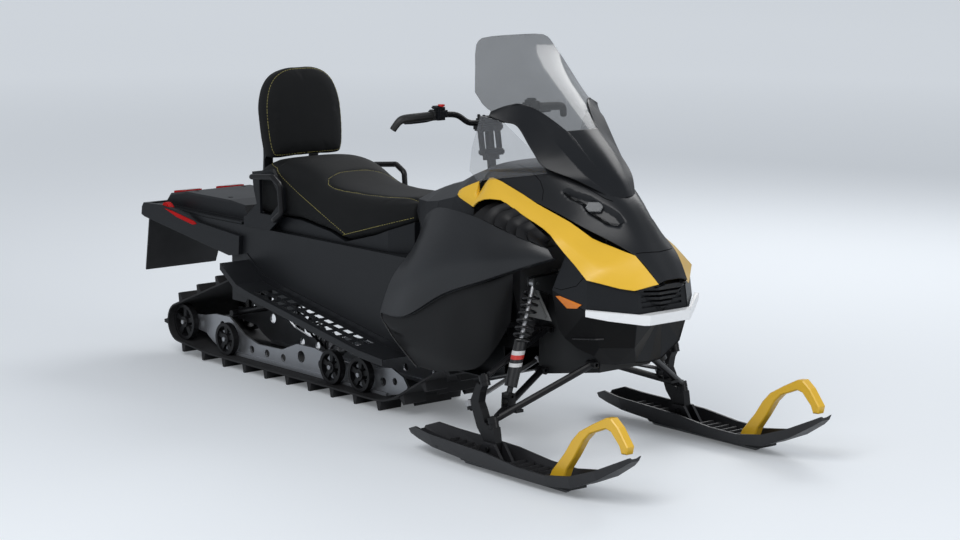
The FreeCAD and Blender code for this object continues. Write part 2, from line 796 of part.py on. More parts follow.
# Side panels.
pod_top = line3((1113, -330, 746), (868, -332, 797), (662, -316, 828), (396, -266, 766),
                (216, -252, 566), (150, -250, 400))
pod_crease = line3((1104, -336, 726), (935, -346, 672), (771, -352, 616), (520, -348, 500),
                   (335, -336, 418), (205, -300, 340))
pod_hem = line3((1030, -320, 702), (780, -266, 402), (660, -268, 270), (560, -272, 254),
                (360, -284, 236), (262, -290, 236))

# Windshield.
glass_wall = 5.0
# Height, place at the middle, and how far the edges fall back at a half width of 250.
glass_sections = [(1092, 936, 152), (1240, 755, 148), (1358, 602, 76), (1436, 528, 14)]


glass_sides = 22


def bow(x, fall, z):
    """Points of an arc across the screen, set back by fall at its two ends."""
    arc = Part.Arc(V(x - fall, -250, z), V(x, 0, z), V(x - fall, 250, z)).toShape()
    return arc.discretize(glass_sides + 1)


def build_glass():
    wires = []
    for z, x, fall in glass_sections:
        wires.append(bow(x, fall, z) + bow(x - glass_wall * 1.6, fall, z)[::-1])
    blank = crease_loft(wires)
    half = [(0, 1100), (-66, 1100), (-120, 1172), (-200, 1166), (-236, 1172), (-244, 1200),
            (-243, 1236), (-190, 1358), (-171, 1392), (-160, 1404), (-140, 1412), (0, 1417)]
    outline = half + [(-y, z) for y, z in half[-2:0:-1]]
    return blank.common(prism_x(outline, 300, 1200))


base_out = line3((700, -254, 1162), (744, -226, 1144), (790, -202, 1130), (852, -193, 1056),
                 (906, -182, 1000), (1000, -128, 962), (1092, -64, 912))
base_ridge = line3((703, -247, 1176), (729, -190, 1196), (768, -148, 1192), (873, -122, 1093),
                   (950, -118, 1035), (1036, -100, 968), (1106, -50, 909))
base_tip = line3(None, None, (783, -128, 1188), (894, -71, 1113), (985, -64, 1040),
                 (1066, -48, 964), (1118, -28, 907))
base_mid = line3(None, None, None, (908, 0, 1115), (998, 0, 1044), (1082, 0, 966), (1124, 0, 906))
base_half = [base_out, base_ridge, base_tip, base_mid]
base_net = [flipped(r)[::-1] for r in base_half] + [r[::-1] for r in base_half[-2::-1]]
wing_front = line3((746, -224, 1138), (850, -191, 1052), (902, -180, 1000), (880, -150, 972))
wing_rear = line3((650, -250, 1160), (604, -250, 1040), (588, -246, 960), (610, -226, 926))


def keep_inside(shape, panel):
    """Cut a piece by a body panel and keep the part on the panel's inner side."""
    pieces = shape.cut(panel).Solids
    return max(pieces, key=lambda s: s.BoundBox.YMin)


# Seat and console.
def rounded_section(x, half, z_low, z_high, shoulder):
    pts = [(-half + 18, z_low), (half - 18, z_low), (half, z_low + 34), (half - 4, z_high - shoulder),
           (half - 40, z_high - 14), (half * 0.45, z_high), (-half * 0.45, z_high),
           (-half + 40, z_high - 14), (-half + 4, z_high - shoulder), (-half, z_low + 34)]
    return [V(x, y, z) for y, z in pts]


seat_bottom = tunnel_top + sheet + seat_gap
seat_half = tunnel_half - 10.0
seat_stations = [(-790, 196, 846, 60), (-700, 204, 866, 58), (-566, 206, 891, 56),
                 (-440, 206, 886, 56), (-345, 206, 826, 50), (-180, 206, 795, 46),
                 (0, 198, 797, 46), (120, 176, 806, 50), (168, 150, 806, 56)]


seat_under = [(-796, 656), (-480, 660), (-286, 638), (-190, 612), (-10, 658), (168, 722)]


def build_seat():
    wires = [rounded_section(x, half * seat_half / 206.0, seat_bottom, top, s)
             for x, half, top, s in seat_stations]
    body = crease_loft(wires)
    under = [(x, z + seat_gap) for x, z in seat_under]
    return body.cut(prism_y([(-900, 500), (-900, 656.3)] + under + [(260, 755), (260, 500)],
                            -300, 300))


def build_seat_base():
    """Moulded base between the tunnel and the cushion."""
    side = prism_y([(-796, seat_bottom)] + seat_under + [(168, seat_bottom)], -seat_half, seat_half)
    plan = [(-796, 22 - seat_half), (-190, 10 - seat_half), (60, 16 - seat_half), (180, 58 - seat_half)]
    return side.common(prism_z(plan + [(x, -y) for x, y in plan[::-1]], 500, 800))


def console_section(x, z_low, z_high, half_low, half_mid, half_top):
    z_mid = z_low + (z_high - z_low) * 0.62
    pts = [(-half_low, z_low), (half_low, z_low), (half_mid, z_mid), (half_top, z_high - 8),
           (half_top * 0.5, z_high), (-half_top * 0.5, z_high), (-half_top, z_high - 8),
           (-half_mid, z_mid)]
    return [V(x, y, z) for y, z in pts]


console_low = 720.0
tank_low = seat_bottom


def build_console():
    wires = [console_section(*s) for s in
             ((178, console_low + 44, 836, 150, 140, 84), (260, console_low, 866, 196, 168, 84),
              (351, console_low, 890, 222, 190, 88), (450, console_low, 930, 232, 200, 108),
              (590, console_low + 46, 976, 236, 214, 140))]
    body = crease_loft(wires)
    return body.cut(rod(post_foot - post_axis * 60, post_foot + post_axis * 60,
                        post_radius + seat_gap))


def build_tank():
    sections = []
    for x, half, z in ((186, 150, 752), (256, 190, console_low - seat_gap),
                       (460, 200, console_low - seat_gap)):
        sections.append([V(x, y, zz) for y, zz in
                         ((-half, tank_low), (half, tank_low), (half - 12, z), (12 - half, z))])
    return crease_loft(sections)


post_foot = V(419, 0, 950)
bar_centre = V(397, 0, 1112)
post_axis = (bar_centre - post_foot).normalize()
post_radius = 17.0
bar_radius = 11.0
bar_points = [V(366, -393, 1108), V(388, -372, 1152), V(390, -180, 1158), V(399, -88, 1122),
              V(399, 88, 1122), V(390, 180, 1158), V(388, 372, 1152), V(366, 393, 1108)]


def build_handlebar():
    post = rod(post_foot - post_axis * 58, bar_centre, post_radius)
    collar = rod(post_foot + post_axis * 14, post_foot + post_axis * 34, 30)
    clamp = Part.makeBox(56, 96, 44, V(bar_centre.x - 24, -48, bar_centre.z - 14))
    bar = bent_tube(bar_points, bar_radius, 34, 12)
    return fused([post, collar, clamp, bar])


def build_grip(side):
    inner_end = V(390, side * 180, 1158)
    d = (V(388, side * 372, 1152) - inner_end).normalize()
    a = inner_end + d * 62
    b = inner_end + d * 168
    grip = flat_rod(a, b, 17, 14)
    grip = grip.fuse([flat_rod(a + d * k, a + d * (k + 5), 19, 14) for k in (0, 26, 52, 78, 100)])
    return grip.cut(flat_rod(a - d * 40, b + d * 60, (bar_radius + seat_gap) * 1.03, 14))


def build_control(side):
    inner_end = V(390, side * 180, 1158)
    d = (V(388, side * 372, 1152) - inner_end).normalize()
    centre = inner_end + d * 40
    shell = rod(centre - d * 19, centre + d * 19, 22)
    perch = Part.makeBox(46, 20, 16, centre + V(4, -10, -8))
    lever = bent_tube([centre + V(44, side * 4, 0), centre + V(58, side * 40, -4),
                       centre + V(44, side * 130, -8)], 5, 20, 6)
    body = fused([shell, perch, lever])
    return body.cut(rod(centre - d * 60, centre + d * 60, bar_radius + seat_gap))


# Rear of the body.
backrest_outline = [(-146, 880), (146, 880), (170, 894), (184, 930), (193, 1000), (190, 1072),
                    (177, 1126), (154, 1174), (118, 1207), (66, 1226), (-66, 1226), (-118, 1207),
                    (-154, 1174), (-177, 1126), (-190, 1072), (-193, 1000), (-184, 930), (-170, 894)]
backrest_lean = -7.0
backrest_x = -733.0


def build_backrest():
    """Pad lofted through four outlines, drawn in towards its front and back faces."""
    wires = []
    for depth, share in ((-46, 0.86), (-26, 1.0), (24, 1.0), (44, 0.87)):
        wires.append([V(depth, y * share, 1053 + (z - 1053) * share)
                      for y, z in backrest_outline])
    body = crease_loft(wires)
    body.rotate(V(0, 0, 872), V(0, 1, 0), backrest_lean)
    body.translate(V(backrest_x, 0, 0))
    return body


def build_bracket():
    """Two side plates with windows, joined behind the seat, and two posts for the pad."""
    plate = [(-800, deck_low), (-640, deck_low), (-594, 638), (-541, 694), (-549, 779), (-590, 812),
             (-620, 843), (-752, 822), (-744, 760), (-724, 700), (-800, 640)]
    window = [(-700, 664), (-630, 664), (-582, 708), (-588, 764), (-620, 800), (-704, 796)]
    plate_in = tunnel_half - 4
    parts = []
    for s in (-1, 1):
        y0, y1 = sorted((s * plate_in, s * bracket_out))
        parts.append(prism_y(plate, y0, y1).cut(prism_y(window, y0 - 1, y1 + 1)))
        y0, y1 = sorted((s * 90, s * 130))
        parts.append(prism_y([(-826, deck_low), (-799, deck_low), (-799, 858), (-778, 884),
                              (-796, 1010), (-812, 1010), (-808, 872)], y0, y1))
    parts.append(box(-812, -797, -bracket_out, bracket_out, deck_low, 640))
    rest = pad.copy()
    rest.translate(V(-seat_gap, 0, 0))
    return fused(parts).cut(rest)


bracket_out = tunnel_half + 8


def build_grab(side):
    y = side * (tunnel_half + 84)
    root = side * (bracket_out + seat_gap)
    return bent_tube([V(-690, root, 808), V(-650, y, 818), V(-512, y, 832), V(-462, y, 806),
                      V(-452, y, 700), V(-500, y, 668), V(-610, root, 648)], 11, 20, 10)


deck_low = tunnel_top + sheet + seat_gap
deck_top = 678.0


def build_deck():
    half = tunnel_half - 48
    hump = prism_y([(-1450, deck_low), (-1455, 630), (-1426, 660), (-1320, deck_top),
                    (-1000, deck_top), (-890, 668), (-848, deck_low)], -half, half)
    hump = hump.makeChamfer(8, [e for e in hump.Edges if abs(e.BoundBox.YMax - e.BoundBox.YMin) < 1
                                 and e.BoundBox.ZMin > deck_low + 10])
    flange = box(-1498, -840, -tunnel_half, tunnel_half, deck_low, deck_low + 10)
    well = prism_y([(-1440, deck_low - 5), (-1445, 626), (-1422, 654), (-1320, deck_top - 6),
                    (-1000, deck_top - 6), (-894, 662), (-860, deck_low - 5)], 8 - half, half - 8)
    body = hump.fuse(flange).cut(well)
    holes = [Part.makeCylinder(anchor_r, 60, V(anchor_x + sx * anchor_dx / 2, sy * anchor_dy / 2, 630))
             for sx in (-1, 1) for sy in (-1, 1)]
    return body.cut(holes)


anchor_r = 11.0
anchor_x = -1180.0
anchor_dx = 240.0
anchor_dy = 230.0


def build_bumper_rear():
    """Moulded side rails along the tunnel, joined across its end."""
    inner = tunnel_half + sheet + seat_gap
    outer = tunnel_half + 22
    side = [(-1516, 618), (-1529, 600), (-1534, 568.3), (-1512, 560), (-899, 474), (-832, 486),
            (-826, 560), (-1120, 582), (-1200, 606), (-1380, 622)]
    parts = []
    for s in (-1, 1):
        y0, y1 = sorted((s * inner, s * outer))
        parts.append(prism_y(side, y0, y1))
    back = tunnel_rear - seat_gap
    parts.append(prism_y([(-1516, 618), (-1529, 600), (-1534, 568.3), (back, 568.3), (back, 618)],
                         -outer, outer))
    return fused(parts)


def build_flap():
    top = 200.0
    low = 175.0
    plate = prism_x([(-top, 562), (top, 562), (low, 300), (-low, 300)], -3, 3)
    ribs = [box(-9, -3, y - 5, y + 5, 320, 540) for y in (-110, -36, 36, 110)]
    plate = fused([plate] + ribs)
    plate.rotate(V(0, 0, 562), V(0, 1, 0), 17)
    plate.translate(V(-1530, 0, 7))
    return plate.cut([box(-1700, -1400, -48, 48, 549, 700), box(-1700, -1400, -300, 300, 568, 700)])


hitch_r = 8.0
hitch_x = -1612.0


def build_hitch():
    tongue = prism_z([(-1440, -40), (-1440, 40), (-1560, 40), (-1630, 20), (-1630, -20), (-1560, -40)],
                     556, 568)
    riser = box(-1496, -1440, -40, 40, 556, tunnel_top - seat_gap)
    riser = riser.cut(box(-1484, -1452, -50, 50, 572, 592))
    body = tongue.fuse(riser)
    return body.cut(Part.makeCylinder(hitch_r, 40, V(hitch_x, 0, 540)))


# Engine bay.
bay_half = 212.0
bay_floor = 362.0


def build_cradle():
    front = bulk_rear - seat_gap
    back = tunnel_nose + seat_gap
    floor = box(back, front, -bay_half, bay_half, bay_floor, bay_floor + 6)
    parts = [floor]
    for s in (-1, 1):
        y0, y1 = sorted((s * bay_half, s * (bay_half - 5)))
        wall = [(back, bay_floor), (front, bay_floor), (front, bay_floor + 108), (front - 52, 600),
                (back, 600)]
        window = [(back + 50, bay_floor + 38), (front - 52, bay_floor + 38), (front - 72, 560),
                  (back + 50, 560)]
        parts.append(prism_y(wall, y0, y1).cut(prism_y(window, y0 - 1, y1 + 1)))
        y0, y1 = sorted((s * bay_half, s * (bulk_half - 4)))
        parts.append(box(front - 6.7, front, y0, y1, bay_floor, bay_floor + 22))
    body = fused(parts)
    posts = []
    for x, z in ((620, 580), (790, 450)):
        post = rod(V(x, -bay_half + 2, z), V(x, -380, z), 12)
        inner = keep_inside(post, side_panel)
        posts += [inner, mirrored(inner)]
    return fused([body] + posts)


def build_pan():
    back = tunnel_nose + seat_gap
    line = [(back, 270), (520, 250), (716, 250), (742, 262), (742, 266), (716, 254), (520, 254),
            (back, 274)]
    pan = prism_y(line, -264, 264)
    walls = []
    for s in (-1, 1):
        y0, y1 = sorted((s * (bay_half - 5), s * bay_half))
        wall_top = bay_floor - seat_gap
        walls.append(prism_y([(480, 262), (520, 252), (716, 252), (736, 262), (736, wall_top),
                              (480, wall_top)], y0, y1))
    return fused([pan] + walls)


# Nose and trim.
def build_grille():
    core = net_core(cowl, (0, 1), skin + seat_gap)
    block = core.common(box(1215, 1400, -200, 200, 300, 640))
    slots = []
    for k in range(4):
        z = 560 + 18 * k
        slots.append(box(1285, 1400, -92, 92, z, z + 8))
    return block.cut(slots).cut([nose_side, mirrored(nose_side)])


def build_bumper_front():
    plan = [(1204, -264), (1334, -92), (1334, 92), (1204, 264), (1195, 253), (1307, 116),
            (1307, -116), (1195, -253)]
    band = prism_z(plan, 500, 562)
    low = prism_y([(1190, 480), (1190, 544), (1250, 524), (1322, 508), (1345, 508), (1345, 480)],
                  -300, 300)
    band = band.cut(low)
    top = prism_y([(1170, 580), (1420, 580), (1420, 536), (1310, 544), (1190, 562)], -300, 300)
    band = band.cut(top)
    bosses = [rod(V(1322, s * 60, 524), V(1230, s * 60, 524), 12) for s in (-1, 1)]
    body = band.fuse(bosses).cut([grille, belly])
    return max(body.Solids, key=lambda piece: piece.BoundBox.XMax)


def build_marker():
    outer = net_core(cowl, (0, 2), -3.0)
    inner = net_core(cowl, (0, 2), -0.3)
    patch = prism_y([(1030, 582), (1052, 586), (1166, 572), (1142, 556), (1086, 548)], -300, -180)
    return patch.common(outer).cut(inner)


def build_vent():
    high = line3((1072, -236, 712), (976, -236, 756), (880, -240, 800), (768, -246, 846),
                 (640, -262, 812))
    low = line3((1080, -340, 726), (980, -342, 754), (868, -342, 782), (762, -336, 800),
                (668, -328, 812))
    plate = thick_panel([high, low], 5.0, gap=0.0)
    ribs = []
    for k in range(7):
        x = 720 + 50 * k
        t = (x - 640) / 432.0
        za = 812 + 34 * min(1.0, t * 3) - 134 * max(0.0, t - 0.3) / 0.7
        ribs.append(prism_x([(-238, za - 8), (-238, za + 18), (-262, za + 24), (-318, 802 - 66 * t),
                             (-318, 782 - 66 * t)], x, x + 7))
    return fused([plate] + ribs)


# Build.
glass_blank = build_glass()
hood = thick_panel(cowl, skin, hood_cells)
accent = thick_panel(cowl, skin, accent_cells)
nose_side = thick_panel(cowl, skin, nose_cells)
belly = thick_panel(cowl, skin, belly_cells)
wheel_well = prism_y([(880, 300), (1130, 300), (1138, 384), (1080, 404), (1012, 470), (880, 470)],
                     -320, 320)
belly = belly.cut(wheel_well)
side_panel = thick_panel([pod_top, pod_crease, pod_hem], skin)

lamp_axis = V(0.60, -0.65, 0.46).normalize()
lamp_at = V(1074, -107, 876)
lamp_half = 30.0
lamp_rise = 17.0


def lamp_block(grow, back, front):
    """Six-sided lens block along the lamp's own axis."""
    across = V(0, 0, 1).cross(lamp_axis).normalize()
    up = lamp_axis.cross(across).normalize()
    w = lamp_half + grow
    h = lamp_rise + grow
    corners = [(-w, -h * 0.2), (-w * 0.6, -h), (w * 0.7, -h), (w, 0), (w * 0.7, h), (-w * 0.7, h)]
    start = lamp_at - lamp_axis * back
    ring = [start + across * a + up * b for a, b in corners]
    return Part.Face(polygon(ring)).extrude(lamp_axis * (back + front))


lamp_room = lamp_block(seat_gap, 60, 60)
head_lamp = lamp_block(0.0, 34, 2)
hood = hood.cut([lamp_room, mirrored(lamp_room)])

shield_base = thick_panel(base_net, 10.0).cut([glass_blank, hood])
shield_base = max(shield_base.Solids, key=lambda s: s.Volume)
glass = glass_blank.cut(hood)
wing = thick_panel([wing_rear, wing_front], 3.0).cut([shield_base, hood, accent, glass])
wing = max(wing.Solids, key=lambda s: s.Volume)
vent = build_vent().cut([side_panel, accent])
vent = max(vent.Solids, key=lambda s: s.Volume)

grille = build_grille()
cradle = build_cradle()
bulkhead = build_bulkhead()
engine = box(tunnel_nose + 22, bulk_rear - 16, 22 - bay_half, bay_half - 22, bay_floor + 6 + seat_gap, 700)
ski = build_ski()
handle = build_handle()
spindle = build_spindle()
tie_rod = build_tie_rod()
upper_arm = wishbone(up_front, up_rear, kingpin_high, 9, 36)
lower_arm = build_front_lower()
shock = build_front_shock()
spring = build_front_spring()
board = build_board()
pair = Part.makeCompound

pad = build_backrest()
bracket = build_bracket()
grab = build_grab(-1).cut(bracket)
marker = build_marker()


def both(shape):
    return pair([shape, mirrored(shape)])


save(build_track(), "track")
save(both(rails_right), "slide_rails")
save(pair(ground_pairs + rear_pairs + upper_pairs), "idler_wheels")
rail_shaft = axle(cross_shaft.x, cross_shaft.z, 12, -rail_inside, rail_inside)
save(pair([rear_axle, upper_shaft, rail_shaft]), "idler_axles")
save(build_skid_damper(), "skid_damper")
save(build_skid_spring(), "skid_spring")
save(pair([front_arm, rear_arm]), "swing_arms")
save(drive_train, "drive_axle")
save(build_tunnel(), "tunnel")
save(both(board), "running_boards")
save(build_bumper_rear(), "rear_bumper")
save(build_flap(), "snow_flap")
save(build_deck(), "cargo_deck")
save(build_hitch(), "tow_hitch")
save(build_seat(), "seat_cushion")
save(build_seat_base(), "seat_base")
save(pad, "backrest_pad")
save(bracket, "backrest_bracket")
save(both(grab), "grab_handles")
save(build_tank(), "fuel_tank")
save(build_console(), "console")
save(cradle, "engine_cradle")
save(engine, "engine_block")
save(build_pan(), "belly_pan")
save(bulkhead, "bulkhead")
save(hood, "hood")
save(both(accent), "accent_panels")
save(both(nose_side), "nose_panels")
save(belly, "belly_shell")
save(both(side_panel), "side_panels")
save(both(vent), "side_vents")
save(both(head_lamp), "headlamps")
save(grille, "front_grille")
save(build_bumper_front(), "front_bumper")
save(both(marker), "side_markers")
save(glass, "windshield")
save(shield_base, "windshield_base")
save(both(wing), "side_deflectors")
save(both(upper_arm), "upper_arms")
save(both(lower_arm), "lower_arms")
save(both(shock), "front_shocks")
save(both(spring), "front_springs")
save(build_handlebar(), "handlebar")
save(pair([build_grip(-1), build_grip(1)]), "handlebar_grips")
save(pair([build_control(-1), build_control(1)]), "handlebar_controls")
for name, shape in (("ski", ski), ("ski_handle", handle), ("ski_runner", build_runner()),
                    ("spindle", spindle), ("tie_rod", tie_rod)):
    save(shape, name + "_right")
    save(mirrored(shape), name + "_left")
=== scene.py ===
import math

import bmesh
import bpy
from mathutils import Matrix, Vector


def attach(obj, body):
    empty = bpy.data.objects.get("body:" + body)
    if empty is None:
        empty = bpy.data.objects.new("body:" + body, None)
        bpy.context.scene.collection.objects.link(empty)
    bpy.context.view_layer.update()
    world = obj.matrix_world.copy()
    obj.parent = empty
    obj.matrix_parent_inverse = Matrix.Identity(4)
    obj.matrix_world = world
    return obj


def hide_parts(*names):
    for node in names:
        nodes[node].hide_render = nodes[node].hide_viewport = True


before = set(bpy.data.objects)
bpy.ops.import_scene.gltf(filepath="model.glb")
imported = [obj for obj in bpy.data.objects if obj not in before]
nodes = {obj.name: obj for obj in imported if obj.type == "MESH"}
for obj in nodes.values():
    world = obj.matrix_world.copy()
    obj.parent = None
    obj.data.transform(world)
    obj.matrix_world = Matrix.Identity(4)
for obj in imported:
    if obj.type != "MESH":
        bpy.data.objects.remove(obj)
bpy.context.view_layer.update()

# Studio: pale floor, three soft lamps and the camera at the photograph's angle.
# The floor and the sky show nearly white to the camera only, so that the
# lamps can light the machine at a plain level.
EYE = Vector((6.98357, -5.61019, 2.03991))
YAW, PITCH, ROLL = 2.439577, -0.169294, -0.002435
FLOOR_REACH = 30


def placed(name, data):
    """New object from a mesh, lamp or camera, standing in the scene."""
    piece = bpy.data.objects.new(name, data)
    bpy.context.scene.collection.objects.link(piece)
    return piece


camera = placed("camera", bpy.data.cameras.new("camera"))
camera.location = EYE
camera.rotation_euler = (math.pi / 2 + PITCH, ROLL, YAW - math.pi / 2)
camera.data.lens = 91.27
camera.data.sensor_width = 36.0
camera.data.clip_end = 200.0
bpy.context.scene.camera = camera
bpy.context.scene.view_settings.view_transform = "Standard"


def wire(tree, *links):
    """Joins node sockets, each link given as (from, output, to, input)."""
    for a, out, b, into in links:
        tree.links.new(a.outputs[out], b.inputs[into])


def new_node(tree, kind, **values):
    """New shader node with some inputs set; an underscore stands for a space."""
    made = tree.nodes.new("ShaderNode" + kind)
    for key, value in values.items():
        made.inputs[key.replace("_", " ")].default_value = value
    return made


def two_tone(tree, dark, light, low=0.0, high=1.0):
    """Colour ramp from a darker to a lighter tone."""
    ramp = new_node(tree, "ValToRGB")
    for stop, place, tone in zip(ramp.color_ramp.elements, (low, high), (dark, light)):
        stop.position = place
        stop.color = (*tone, 1)
    return ramp


def new_finish(name):
    """New material, with its node tree and its shader."""
    material = bpy.data.materials.new(name)
    material.use_nodes = True
    return material, material.node_tree, material.node_tree.nodes["Principled BSDF"]


def pale_floor():
    """Matt pale floor that glows a little to the camera, more so far away."""
    material, tree, shader = new_finish("studio_floor")
    grain = new_node(tree, "TexNoise", Scale=3.0)
    tint = two_tone(tree, (0.74, 0.77, 0.80), (0.80, 0.83, 0.86))
    where = new_node(tree, "TexCoord")
    reach = new_node(tree, "VectorMath")
    reach.operation = "LENGTH"
    lift = new_node(tree, "MapRange", From_Min=2.0, From_Max=14.0, To_Min=0.16, To_Max=0.42)
    seen = new_node(tree, "LightPath")
    shine = new_node(tree, "Math")
    shine.operation = "MULTIPLY"
    wire(tree, (grain, "Fac", tint, "Fac"), (tint, "Color", shader, "Base Color"),
         (where, "Object", reach, 0), (reach, "Value", lift, "Value"),
         (lift, "Result", shine, 0), (seen, "Is Camera Ray", shine, 1),
         (shine, 0, shader, "Emission Strength"), (tint, "Color", shader, "Emission Color"))
    shader.inputs["Roughness"].default_value = 0.9
    shader.inputs["Specular IOR Level"].default_value = 0.2
    return material


floor_mesh = bpy.data.meshes.new("floor")
floor_mesh.from_pydata([(x * FLOOR_REACH, y * FLOOR_REACH, 0)
                        for x, y in ((-1, -1), (1, -1), (1, 1), (-1, 1))], [], [(0, 1, 2, 3)])
floor = placed("floor", floor_mesh)
floor.data.materials.append(pale_floor())

world = bpy.data.worlds.new("studio")
world.use_nodes = True
bpy.context.scene.world = world
sky = world.node_tree
dim = sky.nodes["Background"]
dim.inputs["Color"].default_value = (0.88, 0.93, 1.0, 1)
dim.inputs["Strength"].default_value = 0.42
bright = new_node(sky, "Background", Color=(0.86, 0.90, 0.94, 1))
path = new_node(sky, "LightPath")
pick = new_node(sky, "MixShader")
wire(sky, (path, "Is Camera Ray", pick, 0), (dim, 0, pick, 1), (bright, 0, pick, 2),
     (pick, 0, sky.nodes["World Output"], 0))


def lamp(name, place, aim, size, power):
    """Rectangular soft lamp aimed at a point."""
    light = bpy.data.lights.new(name, "AREA")
    light.shape = "RECTANGLE"
    light.size, light.size_y = size
    light.energy = power
    body = placed(name, light)
    body.location = place
    body.rotation_euler = (Vector(aim) - Vector(place)).to_track_quat("-Z", "Y").to_euler()


lamp("key_lamp", place=(2.5, -4.5, 5.0), aim=(0.2, 0, 0.5), size=(3.5, 3.5), power=190)
lamp("rim_lamp", place=(-1.5, 4.5, 4.0), aim=(0.3, 0, 0.6), size=(4.0, 2.5), power=120)
lamp("nose_lamp", place=(6.0, 1.0, 2.6), aim=(0.8, 0, 0.5), size=(2.5, 2.5), power=60)

# Track: one endless belt of black rubber with moulded lugs across it.
# Its rubber is dull, with dusty patches at random and a fine moulded grain.


def clouded(name, dark, light, spots, scale, detail, rough, spread):
    """New finish with cloudy colour and gloss: its material, tree, shader and place node."""
    material, tree, shader = new_finish(name)
    where = new_node(tree, "TexCoord")
    cloud = new_node(tree, "TexNoise", Scale=scale, Detail=detail)
    tint = two_tone(tree, dark, light, *spots)
    gloss = new_node(tree, "MapRange", To_Min=rough - spread, To_Max=rough + spread)
    wire(tree, (where, "Object", cloud, "Vector"), (cloud, "Fac", tint, "Fac"),
         (tint, "Color", shader, "Base Color"), (cloud, "Fac", gloss, "Value"),
         (gloss, "Result", shader, "Roughness"))
    return material, tree, shader, where


def grained(tree, shader, where, pattern, out, bump):
    """Lays a fine pattern over a finish as a bump."""
    wire(tree, (where, "Object", pattern, "Vector"), (pattern, out, bump, "Height"),
         (bump, "Normal", shader, "Normal"))


def rubber(name, colour, rough, grain):
    """Black rubber: dusty patches, dull gloss and a fine grain."""
    dusty = [min(1.0, c * 1.9 + 0.004) for c in colour]
    material, tree, shader, where = clouded(
        name, colour, dusty, spots=(0.35, 0.75), scale=9.0, detail=5.0, rough=rough, spread=0.08)
    grained(tree, shader, where, new_node(tree, "TexNoise", Scale=grain), "Fac",
            new_node(tree, "Bump", Strength=0.25, Distance=0.001))
    return material


def dress(material, *names):
    """Gives the named solids of the model one finish."""
    for name in names:
        slots = nodes[name].data.materials
        if not slots:
            slots.append(material)
        for k in range(len(slots)):
            slots[k] = material


dress(rubber("track_rubber", (0.011, 0.011, 0.012), rough=0.72, grain=500), "track")

# Slide rails, wheels and arms: punched grey aluminium rails, black nylon wheels on
# zinc-plated steel axles, and arms of black steel tube pinned under the tunnel.


def coated(name, colour, rough, metal=0.0, grain=700.0, depth=0.12, edge=0.0015,
           mottle=0.25, coat=0.0, spec=0.5):
    """Painted, moulded or bare metal: mottled colour, uneven gloss, fine grain, soft edges."""
    dark = [c * (1 - mottle / 2) for c in colour]
    light = [min(1.0, c * (1 + mottle / 2)) for c in colour]
    material, tree, shader, where = clouded(
        name, dark, light, spots=(0.3, 0.7), scale=5.0, detail=6.0, rough=rough, spread=0.05)
    shader.inputs["Metallic"].default_value = metal
    shader.inputs["Specular IOR Level"].default_value = spec
    shader.inputs["Coat Weight"].default_value = coat
    shader.inputs["Coat Roughness"].default_value = 0.18
    round_edge = new_node(tree, "Bevel", Radius=edge)
    round_edge.samples = 4
    bump = new_node(tree, "Bump", Strength=depth, Distance=0.0008)
    wire(tree, (round_edge, "Normal", bump, "Normal"))
    grained(tree, shader, where, new_node(tree, "TexNoise", Scale=grain), "Fac", bump)
    return material


bare_steel = coated("zinc_steel", (0.42, 0.42, 0.43), 0.32, metal=0.9, grain=260)
black_coat = coated("black_powder_coat", (0.007, 0.007, 0.008), 0.38, grain=480, depth=0.2, spec=0.3)
dress(coated("rail_aluminium", (0.42, 0.43, 0.45), 0.42, metal=0.85, grain=300), "slide_rails")
dress(coated("wheel_nylon", (0.008, 0.008, 0.009), 0.45, spec=0.3), "idler_wheels")
dress(bare_steel, "idler_axles", "drive_axle", "skid_damper")
dress(black_coat, "swing_arms")

# Tunnel, boards and tail: a folded aluminium tunnel with punched running boards,
# painted black, carries a moulded deck, the rear bumper, a rubber flap and the hitch.
body_black = coated("moulded_black", (0.008, 0.009, 0.011), 0.40, grain=950, depth=0.18,
                    edge=0.003, spec=0.3)
dress(coated("tunnel_paint", (0.010, 0.011, 0.013), 0.42, grain=520, spec=0.35),
      "tunnel", "running_boards")
dress(body_black, "rear_bumper", "cargo_deck")
dress(rubber("flap_rubber", (0.010, 0.010, 0.011), rough=0.6, grain=900), "snow_flap")
dress(black_coat, "tow_hitch")

# Seat: one long two-up cushion of black vinyl over foam, high behind for the
# passenger and low for the driver. Its skin is blown up a little as cloth, pulled
# in along its seams and stitched in yellow.


def smooth_rows(rows, count):
    """Rows of numbers, run through smoothly to count rows."""
    out = []
    last = len(rows) - 1
    for k in range(count):
        t = k * last / (count - 1)
        i = min(int(t), last - 1)
        u = t - i
        a, b, c, d = (rows[max(0, min(last, i + j))] for j in (-1, 0, 1, 2))
        out.append([0.5 * (2 * q + (r - p) * u + (2 * p - 5 * q + 4 * r - s) * u * u
                           + (3 * q - p - 3 * r + s) * u ** 3) for p, q, r, s in zip(a, b, c, d)])
    return out


def skin_of(rings, name):
    """Closed mesh through rings of points, with flat ends."""
    mesh = bpy.data.meshes.new(name)
    n = len(rings[0])
    faces = [list(range(n))[::-1], [len(rings) * n - n + k for k in range(n)]]
    for i in range(len(rings) - 1):
        for k in range(n):
            faces.append([i * n + k, i * n + (k + 1) % n, (i + 1) * n + (k + 1) % n, (i + 1) * n + k])
    mesh.from_pydata([p for ring in rings for p in ring], [], faces)
    return placed(name, mesh)


def alter(piece, kind, **settings):
    """Puts one modifier on a piece and applies it."""
    bpy.ops.object.select_all(action="DESELECT")
    piece.select_set(True)
    bpy.context.view_layer.objects.active = piece
    step = piece.modifiers.new("step", kind)
    for key, value in settings.items():
        setattr(step, key, value)
    bpy.ops.object.modifier_apply(modifier="step")


